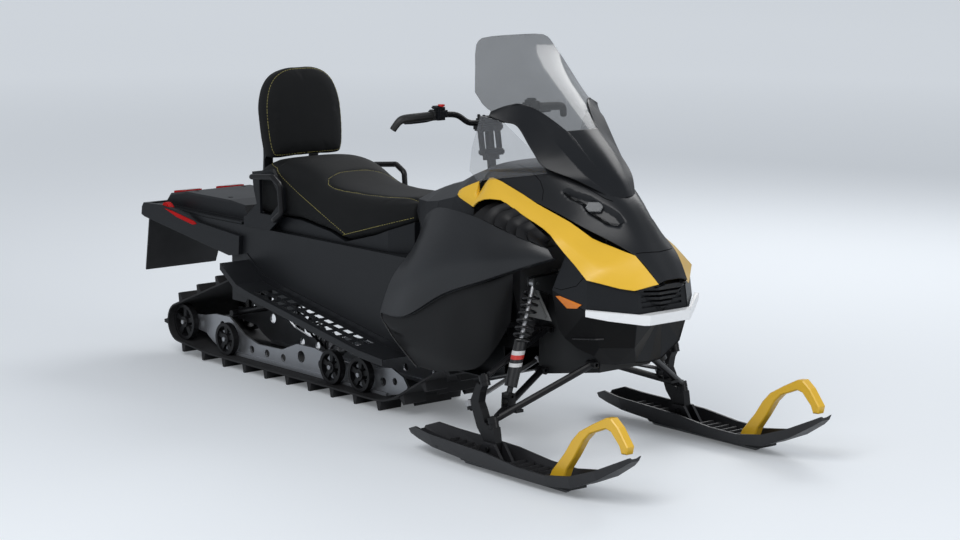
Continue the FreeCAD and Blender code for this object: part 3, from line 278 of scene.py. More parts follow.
def stuff(piece, voxel, cap, held):
    """Blows a form up as cloth over foam, after which no point has moved beyond its cap."""
    alter(piece, "REMESH", mode="VOXEL", voxel_size=voxel)
    alter(piece, "SMOOTH", iterations=8)
    start = [v.co.copy() for v in piece.data.vertices]
    cloth = piece.modifiers.new("cloth", "CLOTH")
    cloth.settings.use_pressure = True
    cloth.settings.uniform_pressure_force = 4.0
    cloth.settings.effector_weights.gravity = 0.0
    cloth.settings.quality = 4
    cloth.point_cache.frame_start = 1
    cloth.point_cache.frame_end = 20
    for frame_number in range(1, 21):
        bpy.context.scene.frame_set(frame_number)
    bpy.ops.object.modifier_apply(modifier="cloth")
    bpy.context.scene.frame_set(1)
    for v, old in zip(piece.data.vertices, start):
        move = v.co - old
        reach = cap * held(old)
        if move.length > reach:
            v.co = old + move * (reach / move.length)


def smooth(piece):
    """Shades all faces of a piece as one round surface."""
    for polygon in piece.data.polygons:
        polygon.use_smooth = True


def off_line(p, line, most):
    """Distance from a point to a line of points, at most the last number."""
    near = most
    for a, b in zip(line, line[1:]):
        d = b - a
        if abs(p.x - a.x) > most + abs(d.x) or d.length < 1e-6:
            continue
        t = max(0.0, min(1.0, (p - a).dot(d) / d.length_squared))
        near = min(near, (p - a - d * t).length)
    return near


def draw_in(piece, line, width, depth):
    """Pulls a skin in along a seam: each point near the line sinks along its own normal."""
    normals = [v.normal.copy() for v in piece.data.vertices]
    for v, n in zip(piece.data.vertices, normals):
        near = off_line(v.co, line, width)
        if near < width:
            v.co -= n * depth * (1 - near / width) ** 2


def on_skin(piece, line, direction, step):
    """Even points and normals where a line, looked at along a direction, meets the skin."""
    well_outside = 0.6
    hits = []
    way = Vector(direction).normalized()
    for a, b in zip(line, line[1:]):
        count = max(1, int((b - a).length / step))
        for k in range(count):
            p = a.lerp(b, k / count)
            found, spot, normal, _ = piece.ray_cast(p - way * well_outside, way)
            if found:
                hits.append((spot, normal))
    return hits


def from_work(name, work):
    """New piece from a mesh in work."""
    mesh = bpy.data.meshes.new(name)
    work.to_mesh(mesh)
    work.free()
    return placed(name, mesh)


def stitches(name, hits, step, pitch):
    """Short raised dashes of yellow thread along points on a skin, one piece for a whole seam."""
    work = bmesh.new()
    section = ((-0.0012, -0.0006), (0.0012, -0.0006), (0.0007, 0.0009), (-0.0007, 0.0009))
    sewn_share, overlap = 0.62, 0.0002
    run = 0.0
    for (p, n), (q, _) in zip(hits, hits[1:]):
        gap = (q - p).length
        if gap > 6 * step:
            continue
        run += gap
        if run % pitch < pitch * sewn_share:
            along = (q - p).normalized()
            across = along.cross(n).normalized()
            a, b = ([work.verts.new(end + across * side + n * lift) for side, lift in section]
                    for end in (p - along * overlap, q + along * overlap))
            work.faces.new(a[::-1])
            work.faces.new(b)
            for k in range(4):
                work.faces.new((a[k], a[(k + 1) % 4], b[(k + 1) % 4], b[k]))
    seam = from_work(name, work)
    seam.data.materials.append(thread)
    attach(seam, "chassis")


def woven(name, colour, rough, pebbles):
    """Grained vinyl: fine pebble bump, dusty mottle and a soft sheen."""
    dark, light = [c * 0.85 for c in colour], [c * 1.3 for c in colour]
    material, tree, shader, where = clouded(
        name, dark, light, spots=(0.3, 0.75), scale=4.0, detail=8.0, rough=rough, spread=0.06)
    shader.inputs["Sheen Weight"].default_value = 0.02
    shader.inputs["Specular IOR Level"].default_value = 0.12
    grained(tree, shader, where, new_node(tree, "TexVoronoi", Scale=pebbles), "Distance",
            new_node(tree, "Bump", Strength=0.35, Distance=0.0006))
    return material


vinyl = woven("seat_vinyl", (0.010, 0.0105, 0.011), rough=0.66, pebbles=420)
thread = coated("yellow_thread", (0.34, 0.30, 0.09), 0.7, grain=1500, depth=0.3)

# Rows along the seat: place, half width, underside and top.
seat_rows = [
    (-0.786, 0.176, 0.664, 0.828), (-0.776, 0.190, 0.659, 0.843), (-0.740, 0.198, 0.657, 0.856),
    (-0.660, 0.203, 0.657, 0.870), (-0.566, 0.204, 0.659, 0.878), (-0.490, 0.204, 0.661, 0.870),
    (-0.430, 0.204, 0.655, 0.851), (-0.380, 0.204, 0.648, 0.828), (-0.320, 0.204, 0.642, 0.806),
    (-0.260, 0.203, 0.632, 0.796), (-0.180, 0.202, 0.616, 0.791), (-0.090, 0.200, 0.638, 0.790),
    (0.000, 0.195, 0.660, 0.793), (0.080, 0.182, 0.688, 0.799), (0.140, 0.162, 0.713, 0.803),
    (0.164, 0.148, 0.722, 0.802)]


def seat_ring(x, half, low, high):
    """Section of the seat: flat underneath, upright sides, crowned top."""
    middle = (low + high) / 2
    points_round, crown_power, base_power = 56, 2 / 3.6, 2 / 9.0
    ring = []
    for k in range(points_round):
        turn = 2 * math.pi * k / points_round
        across, up = math.cos(turn), math.sin(turn)
        power = crown_power if up > 0 else base_power
        ring.append((x, half * math.copysign(abs(across) ** power, across),
                     middle + (high - middle) * math.copysign(abs(up) ** power, up)))
    return ring


def both_sides(points):
    """A line on the right side and its mirror on the left."""
    right = [Vector(p) for p in points]
    return right, [Vector((p.x, -p.y, p.z)) for p in right]


side_seams = both_sides([
    (-0.765, -0.205, 0.852), (-0.648, -0.205, 0.842), (-0.473, -0.205, 0.761), (-0.189, -0.205, 0.640)])
fore_seams = both_sides([
    (-0.232, -0.205, 0.628), (-0.189, -0.205, 0.640), (0.040, -0.20, 0.703), (0.160, -0.17, 0.738)])
half_loop = [
    (0.160, -0.112), (0.0, -0.120), (-0.2, -0.132), (-0.31, -0.152), (-0.35, -0.154), (-0.378, -0.132),
    (-0.398, -0.07), (-0.402, 0.0)]
pad_line = [Vector((x, y, 0.9)) for x, y in half_loop + [(x, -y) for x, y in half_loop[-2::-1]]]

seat = skin_of([seat_ring(*row) for row in smooth_rows(seat_rows, 60)], "seat")
seams = (*side_seams, *fore_seams)
seam_width, stitch_step, stitch_pitch = 0.014, 0.003, 0.012
free_from = 0.05


def near_seam(p):
    """How freely the seat swells: little at a seam, fully 50 mm away from it."""
    return 0.25 + 0.75 * min(off_line(p, line, free_from) for line in seams) / free_from


stuff(seat, voxel=0.008, cap=0.006, held=near_seam)
for line in seams:
    draw_in(seat, line, seam_width, depth=0.0035)
flat_loop = [p for p, n in on_skin(seat, pad_line, (0, 0, -1), step=0.012)]
draw_in(seat, flat_loop, seam_width, depth=0.004)
smooth(seat)
seat.data.materials.append(vinyl)
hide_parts("seat_cushion")
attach(seat, "chassis")
for part, (right, left) in (("seat", side_seams), ("fore", fore_seams)):
    for side, line, way in (("right", right, (0, 1, 0)), ("left", left, (0, -1, 0))):
        hits = on_skin(seat, line, way, stitch_step)
        stitches(f"{part}_stitch_{side}", hits, stitch_step, stitch_pitch)
stitches("driver_stitch", on_skin(seat, pad_line, (0, 0, -1), stitch_step), stitch_step, stitch_pitch)

# Backrest: a tall vinyl pad with a round top, leaning back 7 degrees on its bracket.
# It is blown up as the seat is, and sewn round the edge of its front panel.
pad_half = [
    (0, 0.868), (0.150, 0.868), (0.174, 0.884), (0.184, 0.922), (0.190, 1.000), (0.188, 1.072),
    (0.176, 1.126), (0.154, 1.170), (0.118, 1.202), (0.066, 1.220), (0, 1.223)]
pad_outline = pad_half + [(-y, z) for y, z in pad_half[-2:0:-1]]
per_span = 8
closed = smooth_rows([pad_outline[-1]] + pad_outline + pad_outline[:2],
                     1 + per_span * (len(pad_outline) + 2))
closed = closed[per_span:per_span * (1 + len(pad_outline))]
pad_x, pad_foot, pad_middle = -0.722, 0.872, 1.053
lean = (Matrix.Translation((pad_x, 0, pad_foot)) @ Matrix.Rotation(math.radians(-7), 4, "Y")
        @ Matrix.Translation((0, 0, -pad_foot)))


def pad_ring(depth, share):
    """The pad's outline at a depth, drawn in to a share of its size."""
    return [lean @ Vector((depth, y * share, pad_middle + (z - pad_middle) * share)) for y, z in closed]


pad_rings = [(-0.042, 0.84), (-0.036, 0.93), (-0.026, 0.975), (-0.01, 0.985), (0.012, 0.985),
             (0.026, 0.97), (0.035, 0.92), (0.040, 0.82), (0.0425, 0.5), (0.0435, 0.15)]
backrest = skin_of([pad_ring(depth, share) for depth, share in pad_rings], "backrest")
edge_line = pad_ring(0.034, 0.945)
edge_line.append(edge_line[0])


def near_edge(p):
    """How freely the pad swells: little at its edge seam, fully 50 mm away from it."""
    return 0.2 + 0.8 * min(1.0, min((p - q).length for q in edge_line[::3]) / free_from)


stuff(backrest, voxel=0.0055, cap=0.006, held=near_edge)
draw_in(backrest, edge_line[::4] + [edge_line[0]], width=0.012, depth=0.003)
smooth(backrest)
backrest.data.materials.append(vinyl)
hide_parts("backrest_pad")
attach(backrest, "chassis")


def rim_hits(piece, line, centre):
    """Where a line round the pad meets the skin, looked at from in front towards its middle."""
    backwards, just_outside = Vector((-0.9, 0, 0)), 0.05
    hits = []
    for a in line[:-1]:
        way = ((centre - a).normalized() + backwards).normalized()
        found, spot, normal, _ = piece.ray_cast(a - way * just_outside, way)
        if found:
            hits.append((spot, normal))
    return hits


fine_line = [a.lerp(b, k / 3) for a, b in zip(edge_line, edge_line[1:]) for k in range(3)]
rim = rim_hits(backrest, fine_line, centre=Vector((-0.75, 0, 1.05)))
stitches("backrest_stitch", rim, step=0.006, pitch=stitch_pitch)

# Seat base and console: black mouldings that carry the cushion, the backrest and
# the tank, with bent steel handles for the passenger.
dress(body_black, "backrest_bracket", "seat_base", "fuel_tank", "console")
dress(black_coat, "grab_handles")

# Frame inside the nose: a tubular cradle round the engine, a cast bulkhead that
# takes the front arms, and a moulded pan below.
dress(black_coat, "engine_cradle")
dress(coated("cast_metal", (0.16, 0.16, 0.165), 0.6, metal=0.6), "engine_block")
dress(body_black, "belly_pan")
dress(coated("bulkhead_cast", (0.020, 0.021, 0.022), 0.5, spec=0.3), "bulkhead")

# Nose and belly: black mouldings that close the nose below the coloured panels,
# the belly duller than the rest and painted darker, as shade under the nose.
dress(body_black, "nose_panels", "front_grille")
dress(coated("belly_painted_shade", (0.0035, 0.0035, 0.004), 0.5, edge=0.004, spec=0.2), "belly_shell")

# Side panels: black mouldings, each a shoulder that ends in a sharp ledge and a
# duller lower wall set in under it, its moulding painted darker as shade. Each is drawn
# from rows of points, nose first, and the left one mirrors the right.


def polish(piece, material, *stands_for, body="chassis", angle=35):
    """Smooth faces up to an angle, one finish, and the body that carries the piece."""
    smooth(piece)
    piece.data.set_sharp_from_angle(angle=math.radians(angle))
    if not piece.data.materials:
        piece.data.materials.append(material)
    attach(piece, body)
    if stands_for:
        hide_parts(*stands_for)


def walled(name, grid, thick, outward):
    """Sheet through a grid of points, its thickness laid on the inside."""
    along = len(grid[0])
    mesh = bpy.data.meshes.new(name)
    mesh.from_pydata([p for row in grid for p in row], [],
                     [(i * along + k, i * along + k + 1, (i + 1) * along + k + 1, (i + 1) * along + k)
                      for i in range(len(grid) - 1) for k in range(along - 1)])
    if sum((f.normal.dot(Vector(outward)) * f.area for f in mesh.polygons)) < 0:
        mesh.flip_normals()
    piece = placed(name, mesh)
    alter(piece, "SOLIDIFY", thickness=thick, offset=-1.0)
    return piece


def shell(name, rows, down, along, thick, outward):
    """Sheet drawn smoothly through rows of points, to so many points down and along."""
    fine = [smooth_rows(row, along) for row in rows]
    grid = smooth_rows([[c for p in row for c in p] for row in fine], down)
    return walled(name, [[row[3 * k:3 * k + 3] for k in range(along)] for row in grid], thick, outward)


def merge(name, pieces):
    """Joins meshes into one piece, each keeping its own finish."""
    bpy.ops.object.select_all(action="DESELECT")
    for piece in pieces:
        piece.select_set(True)
    bpy.context.view_layer.objects.active = pieces[0]
    bpy.ops.object.join()
    pieces[0].name = name
    return pieces[0]


def mirror(piece, name):
    """The same piece on the other side of the machine."""
    twin = placed(name, piece.data.copy())
    for v in twin.data.vertices:
        v.co.y = -v.co.y
    twin.data.flip_normals()
    return twin


def pair(right, material, *stands_for, body="chassis", angle=35):
    """Finishes a right-hand piece and its mirror on the left."""
    left = mirror(right, right.name.split(".")[0].replace("right", "left"))
    polish(right, material, *stands_for, body=body, angle=angle)
    polish(left, material, body=body, angle=angle)


def between(a, b, share, out):
    """Point on the way from a to b, moved outwards across the machine."""
    return tuple(p + (q - p) * share + (out if k == 1 else 0) for k, (p, q) in enumerate(zip(a, b)))


shoulder_top = [
    (1.009, -0.255, 0.740), (0.944, -0.283, 0.762), (0.841, -0.304, 0.786), (0.723, -0.315, 0.816),
    (0.586, -0.312, 0.829), (0.469, -0.292, 0.823), (0.391, -0.278, 0.791)]
ledge = [
    (1.035, -0.256, 0.712), (0.977, -0.285, 0.690), (0.893, -0.318, 0.657), (0.779, -0.345, 0.613),
    (0.569, -0.353, 0.538), (0.346, -0.345, 0.426), (0.173, -0.318, 0.411)]
swell = (0.0, -0.006, -0.014, -0.022, -0.028, -0.024)
shoulder = [shoulder_top]
for share, end in ((0.33, (0.339, -0.292, 0.673)), (0.68, (0.232, -0.308, 0.545))):
    shoulder.append([between(a, b, share, w) for a, b, w in zip(shoulder_top, ledge, swell)] + [end])
shoulder.append(ledge)
set_in, set_down = 0.017, 0.005
under_ledge = [ledge, [(x, y + set_in, z - set_down) for x, y, z in ledge]]
wall_rows = [
    [(0.866, -0.290, 0.655), (0.755, -0.325, 0.608), (0.639, -0.335, 0.568), (0.516, -0.337, 0.513),
     (0.327, -0.330, 0.424), (0.164, -0.303, 0.408)],
    [(0.869, -0.288, 0.630), (0.777, -0.330, 0.588), (0.674, -0.342, 0.545), (0.542, -0.345, 0.481),
     (0.302, -0.338, 0.370), (0.183, -0.312, 0.386)],
    [(0.848, -0.270, 0.574), (0.794, -0.318, 0.527), (0.681, -0.334, 0.489), (0.555, -0.343, 0.426),
     (0.352, -0.332, 0.348), (0.210, -0.311, 0.364)],
    [(0.833, -0.262, 0.515), (0.778, -0.300, 0.429), (0.674, -0.318, 0.370), (0.552, -0.328, 0.324),
     (0.387, -0.320, 0.304), (0.252, -0.308, 0.322)],
    [(0.820, -0.255, 0.464), (0.770, -0.280, 0.369), (0.692, -0.290, 0.291), (0.577, -0.294, 0.259),
     (0.458, -0.296, 0.240), (0.367, -0.300, 0.241)]]
side_black = coated("side_moulding", (0.011, 0.012, 0.014), 0.33, grain=950, edge=0.004, spec=0.45)
# The lower wall is the side moulding painted darker: painted shade for a wall that faces down under the
# ledge.
wall_shade_black = coated("wall_painted_shade", (0.0045, 0.0045, 0.005), 0.42, grain=950, edge=0.004, spec=0.25)
top_part = merge("shoulder", [
    shell("shoulder", shoulder, down=19, along=37, thick=0.004, outward=(0, -1, 0.2)),
    shell("lip", under_ledge, down=3, along=37, thick=0.003, outward=(0, -0.2, -1))])
top_part.data.materials.append(side_black)
low_part = shell("wall", wall_rows, down=21, along=31, thick=0.004, outward=(0, -1, 0))
low_part.data.materials.append(wall_shade_black)
pair(merge("side_panel_right", [top_part, low_part]), side_black, "side_panels")

# Gills: moulded black scales between the side panel and the coloured panel, each
# tucked under the next, over a back plate of the same moulding.
gill_lines = [
    [(0.690, -0.236, 0.880), (0.665, -0.262, 0.868), (0.650, -0.284, 0.848), (0.640, -0.303, 0.829)],
    [(0.770, -0.238, 0.869), (0.740, -0.262, 0.855), (0.726, -0.284, 0.834), (0.725, -0.303, 0.812)],
    [(0.816, -0.238, 0.855), (0.771, -0.262, 0.837), (0.771, -0.284, 0.817), (0.788, -0.303, 0.800)],
    [(0.855, -0.238, 0.838), (0.823, -0.262, 0.821), (0.830, -0.284, 0.803), (0.846, -0.303, 0.788)],
    [(0.898, -0.238, 0.820), (0.870, -0.262, 0.805), (0.879, -0.284, 0.790), (0.896, -0.300, 0.775)],
    [(0.931, -0.238, 0.802), (0.921, -0.262, 0.794), (0.938, -0.284, 0.782), (0.957, -0.293, 0.769)],
    [(0.974, -0.238, 0.783), (0.971, -0.255, 0.773), (0.986, -0.268, 0.764), (1.000, -0.270, 0.752)]]


def sunk(line, deep):
    """A line of points moved into the body, inwards and a little down."""
    return [(x, y + deep * 0.75, z - deep * 0.6) for x, y, z in line]


gills = []
out_and_up = (0, -1, 0.6)
for line, after in zip(gill_lines[1:], gill_lines[2:]):
    near, far = ([between(p, q, share, 0.0) for p, q in zip(line, after)] for share in (0.4, 0.8))
    gills.append(shell("gill", [line, sunk(near, 0.002), sunk(far, 0.012), sunk(after, 0.030)],
                       down=10, along=9, thick=0.004, outward=out_and_up))
gills.append(shell("gill_back", [sunk([line[k] for line in gill_lines], 0.034) for k in range(4)],
                   down=7, along=19, thick=0.003, outward=out_and_up))
gill_black = coated("gill_moulding", (0.006, 0.006, 0.007), 0.48, grain=900, edge=0.002, spec=0.3)
pair(merge("gills_right", gills), gill_black, "side_vents")

# Hood: one smooth black moulding over the nose, from crease line to crease line,
# sunk in an angular hollow round each lamp. Its panel gaps are laid on as dark lines.
hood_edge = [
    (0.637, -0.206, 0.929), (0.790, -0.189, 0.893), (0.950, -0.169, 0.850), (1.060, -0.153, 0.813),
    (1.257, -0.093, 0.734), (1.344, -0.067, 0.647)]
hood_ridge = [
    (0.625, -0.168, 0.974), (0.862, -0.138, 0.984), (1.003, -0.106, 0.942), (1.122, -0.072, 0.882),
    (1.261, -0.046, 0.754), (1.345, -0.036, 0.656)]
hood_crown = [
    (0.625, 0.0, 0.988), (0.860, 0.0, 1.000), (1.000, 0.0, 0.952), (1.134, 0.0, 0.896),
    (1.262, 0.0, 0.757), (1.345, 0.0, 0.657)]


def flipped(line):
    """The same line on the left side."""
    return [(x, -y, z) for x, y, z in line]


hollow_line = [
    (0.950, 0.919), (0.968, 0.930), (0.998, 0.922), (1.046, 0.912), (1.097, 0.888), (1.123, 0.877),
    (1.150, 0.862), (1.178, 0.836), (1.171, 0.815), (1.136, 0.820), (1.099, 0.837), (1.062, 0.855),
    (1.032, 0.882), (0.986, 0.895)]


def lamp_hollow(p):
    """How far the hood sinks at a point: an angular hollow round each lamp, drawn in side view."""
    deep, slope_width, hood_middle = 0.016, 0.012, 0.035
    x, z = p.x, p.z
    inside = False
    near = 1.0
    for (x0, z0), (x1, z1) in zip(hollow_line, hollow_line[1:] + hollow_line[:1]):
        dx, dz = x1 - x0, z1 - z0
        if (z0 > z) != (z1 > z) and x < x0 + (z - z0) * dx / dz:
            inside = not inside
        share = max(0.0, min(1.0, ((x - x0) * dx + (z - z0) * dz) / (dx ** 2 + dz ** 2)))
        near = min(near, math.hypot(x - x0 - dx * share, z - z0 - dz * share))
    return deep * min(1.0, near / slope_width) if inside and abs(p.y) > hood_middle else 0.0


hood_lines = [hood_edge, hood_ridge, hood_crown, flipped(hood_ridge), flipped(hood_edge)]
hood = shell("hood_cover", hood_lines, down=121, along=161, thick=0.004, outward=(0.3, 0, 1))
for v in hood.data.vertices:
    into_hood = Vector((0.50, math.copysign(0.65, v.co.y), 0.58))
    v.co -= into_hood * lamp_hollow(v.co)
hood_black = coated("hood_moulding", (0.008, 0.009, 0.011), 0.36, grain=950, depth=0.15,
                    edge=0.004, spec=0.4)
polish(hood, hood_black, "hood", angle=30)


def settled(piece, p, way):
    """Place and normal where a line from p meets a piece."""
    found, spot, normal, _ = piece.ray_cast(Vector(p), Vector(way).normalized())
    return (spot, normal) if found else (Vector(p), -Vector(way))


def gap_line(name, piece, points, way, width=0.0022):
    """Dark panel gap laid along a piece, its points cast onto the skin along a direction."""
    per_span, outside, stand_off, rise = 8, 0.3, 0.0002, 0.0006
    back = -Vector(way).normalized()
    hits = []
    for a, b in zip(points, points[1:]):
        for k in range(per_span):
            p = Vector(a).lerp(Vector(b), k / per_span) + back * outside
            spot, normal = settled(piece, p, way)
            hits.append(spot + normal * stand_off)
    work = bmesh.new()
    before = None
    for p, q in zip(hits, hits[1:]):
        side = (q - p).cross(Vector(way)).normalized() * width / 2
        lift = back * rise
        section = (p - side, p - side * 0.5 + lift, p + side * 0.5 + lift, p + side)
        now = [work.verts.new(c) for c in section]
        if before:
            for k in range(3):
                work.faces.new((before[k], before[k + 1], now[k + 1], now[k]))
        before = now
    return from_work(name, work)


# Near-black for the panel gaps, and painted shade for the walls inside the nose.
gap_and_shade_black = coated("gap_shadow", (0.0012, 0.0012, 0.0014), 0.8, grain=400, spec=0.1)
side_way, nose_way = (-0.2, 1, -0.35), (-0.7, 0, -0.7)
side_gap = gap_line("gap", hood, [
    (0.711, -0.132, 0.987), (0.810, -0.155, 0.977), (0.863, -0.162, 0.946), (0.882, -0.165, 0.917),
    (0.886, -0.176, 0.872)], side_way)
top_gap = gap_line("gap", hood, [
    (0.859, -0.136, 0.984), (0.934, -0.120, 0.966), (1.002, -0.100, 0.944), (1.093, -0.072, 0.902),
    (1.123, -0.050, 0.890)], side_way, width=0.003)
pair(merge("hood_gaps_right", [side_gap, top_gap]), gap_and_shade_black)
nose_gap = gap_line("hood_gap_nose", hood, [
    (1.262, -0.086, 0.745), (1.278, -0.045, 0.745), (1.284, 0.0, 0.745), (1.278, 0.045, 0.745),
    (1.262, 0.086, 0.745)], nose_way, width=0.003)
polish(nose_gap, gap_and_shade_black)

# Shroud: a black moulding on the hood that holds the foot of the screen, with an
# arm up each side. Its front is one sheet, and each arm is a top and a side.
shroud_out = [
    (0.700, -0.254, 1.162), (0.744, -0.226, 1.144), (0.790, -0.202, 1.130), (0.852, -0.193, 1.056),
    (0.906, -0.182, 1.000), (1.000, -0.128, 0.962), (1.092, -0.064, 0.912)]
shroud_ridge = [
    (0.703, -0.247, 1.176), (0.729, -0.190, 1.196), (0.768, -0.148, 1.192), (0.873, -0.122, 1.093),
    (0.950, -0.118, 1.035), (1.036, -0.100, 0.968), (1.106, -0.050, 0.909)]
shroud_tip = [
    (0.703, -0.246, 1.176), (0.730, -0.186, 1.196), (0.783, -0.128, 1.188), (0.894, -0.071, 1.113),
    (0.985, -0.064, 1.040), (1.066, -0.048, 0.964), (1.118, -0.028, 0.907)]
shroud_mid = [(0.908, 0.0, 1.115), (0.998, 0.0, 1.044), (1.082, 0.0, 0.966), (1.124, 0.0, 0.906)]
shroud_parts = []
for turn, side in ((list, -1), (flipped, 1)):
    out, ridge, tip = (turn(line) for line in (shroud_out, shroud_ridge, shroud_tip))
    shroud_parts += [
        shell("shroud_side", [out, ridge], down=9, along=61, thick=0.006, outward=(0.3, side, 0.3)),
        shell("shroud_top", [ridge, tip], down=7, along=61, thick=0.006, outward=(0.5, 0, 1))]
shroud_front = [shroud_tip[3:], shroud_mid, flipped(shroud_tip[3:])]
shroud_parts.append(
    shell("shroud_front", shroud_front, down=15, along=31, thick=0.006, outward=(0.7, 0, 0.7)))
shroud_black = coated("shroud_moulding", (0.007, 0.008, 0.010), 0.34, grain=950, depth=0.1,
                      edge=0.004, spec=0.3)
polish(merge("screen_shroud", shroud_parts), shroud_black, "windshield_base", angle=50)

# Coloured panels: one yellow wing a side, from the notched tail behind the screen to
# the nose, clipped on over the hood's edge. Points run from the tail, and between the
# wing's two edges lies a fold that runs out towards the nose.
yellow = coated("yellow_moulding", (0.84, 0.50, 0.03), 0.33, grain=900, depth=0.06, edge=0.003,
                mottle=0.05, coat=0.3)
wing_top = [
    (0.512, -0.234, 0.872), (0.517, -0.233, 0.883), (0.530, -0.229, 0.893), (0.554, -0.221, 0.905),
    (0.580, -0.213, 0.916), (0.598, -0.208, 0.924), (0.605, -0.210, 0.890), (0.630, -0.207, 0.921),
    (0.649, -0.206, 0.939), (0.668, -0.204, 0.942), (0.707, -0.200, 0.932), (0.756, -0.195, 0.915),
    (0.806, -0.189, 0.897), (0.868, -0.181, 0.871), (0.942, -0.172, 0.847), (1.015, -0.162, 0.823),
    (1.058, -0.154, 0.802), (1.101, -0.141, 0.777), (1.139, -0.130, 0.765), (1.174, -0.119, 0.756),
    (1.217, -0.106, 0.744), (1.260, -0.093, 0.733), (1.296, -0.081, 0.697), (1.345, -0.066, 0.646)]
wing_low = [
    (0.524, -0.244, 0.870), (0.532, -0.245, 0.863), (0.557, -0.249, 0.856), (0.587, -0.252, 0.848),
    (0.611, -0.254, 0.841), (0.619, -0.255, 0.839), (0.628, -0.254, 0.850), (0.644, -0.252, 0.861),
    (0.668, -0.249, 0.870), (0.698, -0.246, 0.875), (0.747, -0.240, 0.876), (0.787, -0.237, 0.862),
    (0.828, -0.234, 0.846), (0.868, -0.232, 0.830), (0.915, -0.230, 0.815), (0.955, -0.228, 0.800),
    (0.995, -0.234, 0.785), (1.023, -0.234, 0.762), (1.062, -0.234, 0.734), (1.126, -0.240, 0.698),
    (1.187, -0.245, 0.658), (1.216, -0.212, 0.647), (1.260, -0.163, 0.630), (1.293, -0.126, 0.623)]
fold_share = [0.62] * 15 + [0.66, 0.70, 0.66, 0.60, 0.56, 0.52, 0.50, 0.48, 0.75]
fold_out = [-0.003] * 16 + [-0.006, -0.011, -0.014, -0.014, -0.010, -0.006, -0.003, 0.0]
wing_fold = [between(a, b, share, out)
             for a, b, share, out in zip(wing_top, wing_low, fold_share, fold_out)]


def strip(name, rows, thick, outward, steps=4):
    """Sheet with straight runs between its rows, so many steps to a run."""
    lines = []
    for a, b in zip(rows, rows[1:]):
        lines += [[tuple(p + (q - p) * k / steps for p, q in zip(v, w)) for v, w in zip(a, b)]
                  for k in range(steps)]
    return walled(name, lines + [rows[-1]], thick, outward)


pair(strip("accent_panel_right", [wing_top, wing_fold, wing_low], thick=0.004, outward=(0, -1, 0.3)),
     yellow, "accent_panels", angle=50)

# Walls behind the wings: a dark flange under each wing's upper edge, and a dark
# wall that closes the hood towards the rider, both near-black as painted shade inside the nose.
backing = [[(x, y + 0.030, z - 0.006) for x, y, z in wing_top[9:]],
           [(x - 0.012, y - 0.004, z - 0.015) for x, y, z in wing_top[9:]]]
pair(strip("wing_back_right", backing, thick=0.003, outward=(0, -1, 0.6), steps=2), gap_and_shade_black)


def flat_piece(name, outline, way, soft=0.002):
    """Plate between an outline and its copy moved along a vector, with softened edges."""
    work = bmesh.new()
    low = [work.verts.new(p) for p in outline]
    high = [work.verts.new(Vector(p) + Vector(way)) for p in outline]
    work.faces.new(low[::-1])
    work.faces.new(high)
    for k in range(len(low)):
        n = (k + 1) % len(low)
        work.faces.new((low[k], low[n], high[n], high[k]))
    bmesh.ops.recalc_face_normals(work, faces=work.faces)
    bmesh.ops.bevel(work, geom=work.edges[:], offset=soft, segments=2, affect="EDGES")
    return from_work(name, work)


# The dash wall is painted near-black as shade inside the hood.
wall_x, wall_thick = 0.592, 0.040
wall_half = [
    (0.240, 0.830), (0.230, 0.862), (0.200, 0.915), (0.160, 0.955), (0.080, 0.966), (0.0, 0.968)]
wall_line = [(wall_x, y, z) for y, z in wall_half] + [(wall_x, -y, z) for y, z in wall_half[-2::-1]]
polish(flat_piece("dash_wall", wall_line, (wall_thick, 0, 0), soft=0.001), gap_and_shade_black)

# Bumper and lamps: a silver-painted bar across the nose, amber markers beside it
# and clear lamp glasses in the hood's hollows.
silver = coated("silver_paint", (0.90, 0.91, 0.92), 0.28, grain=600, depth=0.05, edge=0.003, mottle=0.05)
dress(silver, "front_bumper")
dress(coated("amber_lens", (0.80, 0.22, 0.015), 0.2, edge=0.002), "side_markers")
dress(coated("lamp_lens", (0.075, 0.08, 0.085), 0.28, edge=0.006, coat=0.2, spec=0.35), "headlamps")

# Screen: a smoked sheet bowed across and swept back, with a rounded top, held in the
# shroud. It is drawn in level rows of height and half width. A clear deflector stands
# at each side of it.


def screen(name, colour, rough, through):
    """Tinted see-through sheet: part clear and part glossy, a little uneven."""
    material, tree, shader = new_finish(name)
    clear = new_node(tree, "BsdfTransparent")
    mix = new_node(tree, "MixShader")
    cloud = new_node(tree, "TexNoise", Scale=4.0)
    amount = new_node(tree, "MapRange", To_Min=through - 0.03, To_Max=through + 0.03)
    shader.inputs["Base Color"].default_value = (*colour, 1)
    shader.inputs["Roughness"].default_value = rough
    wire(tree, (cloud, "Fac", amount, "Value"), (amount, "Result", mix, 0), (shader, 0, mix, 1),
         (clear, 0, mix, 2), (mix, 0, tree.nodes["Material Output"], 0))
    return material


screen_rows = [
    (1.100, 0.066), (1.135, 0.092), (1.160, 0.111), (1.168, 0.205), (1.174, 0.233), (1.185, 0.240),
    (1.200, 0.2435), (1.236, 0.243), (1.280, 0.2245), (1.320, 0.207), (1.358, 0.190), (1.380, 0.178),
    (1.392, 0.171), (1.403, 0.160), (1.411, 0.143), (1.4155, 0.100), (1.417, 0.040)]
screen_bow = smooth_rows([
    (1.092, 0.936, 0.152), (1.240, 0.755, 0.148), (1.358, 0.602, 0.076), (1.436, 0.528, 0.014)], 91)
sweep, bow_half, set_back = 1.27, 0.25, 0.006


def on_screen(y, z):
    """Point of the screen at a place across and a height, from rows of height, place and bow."""
    z0, x, fall = min(screen_bow, key=lambda row: abs(row[0] - z))
    return (x - set_back - (z - z0) * sweep - fall * (y / bow_half) ** 2, y, z)


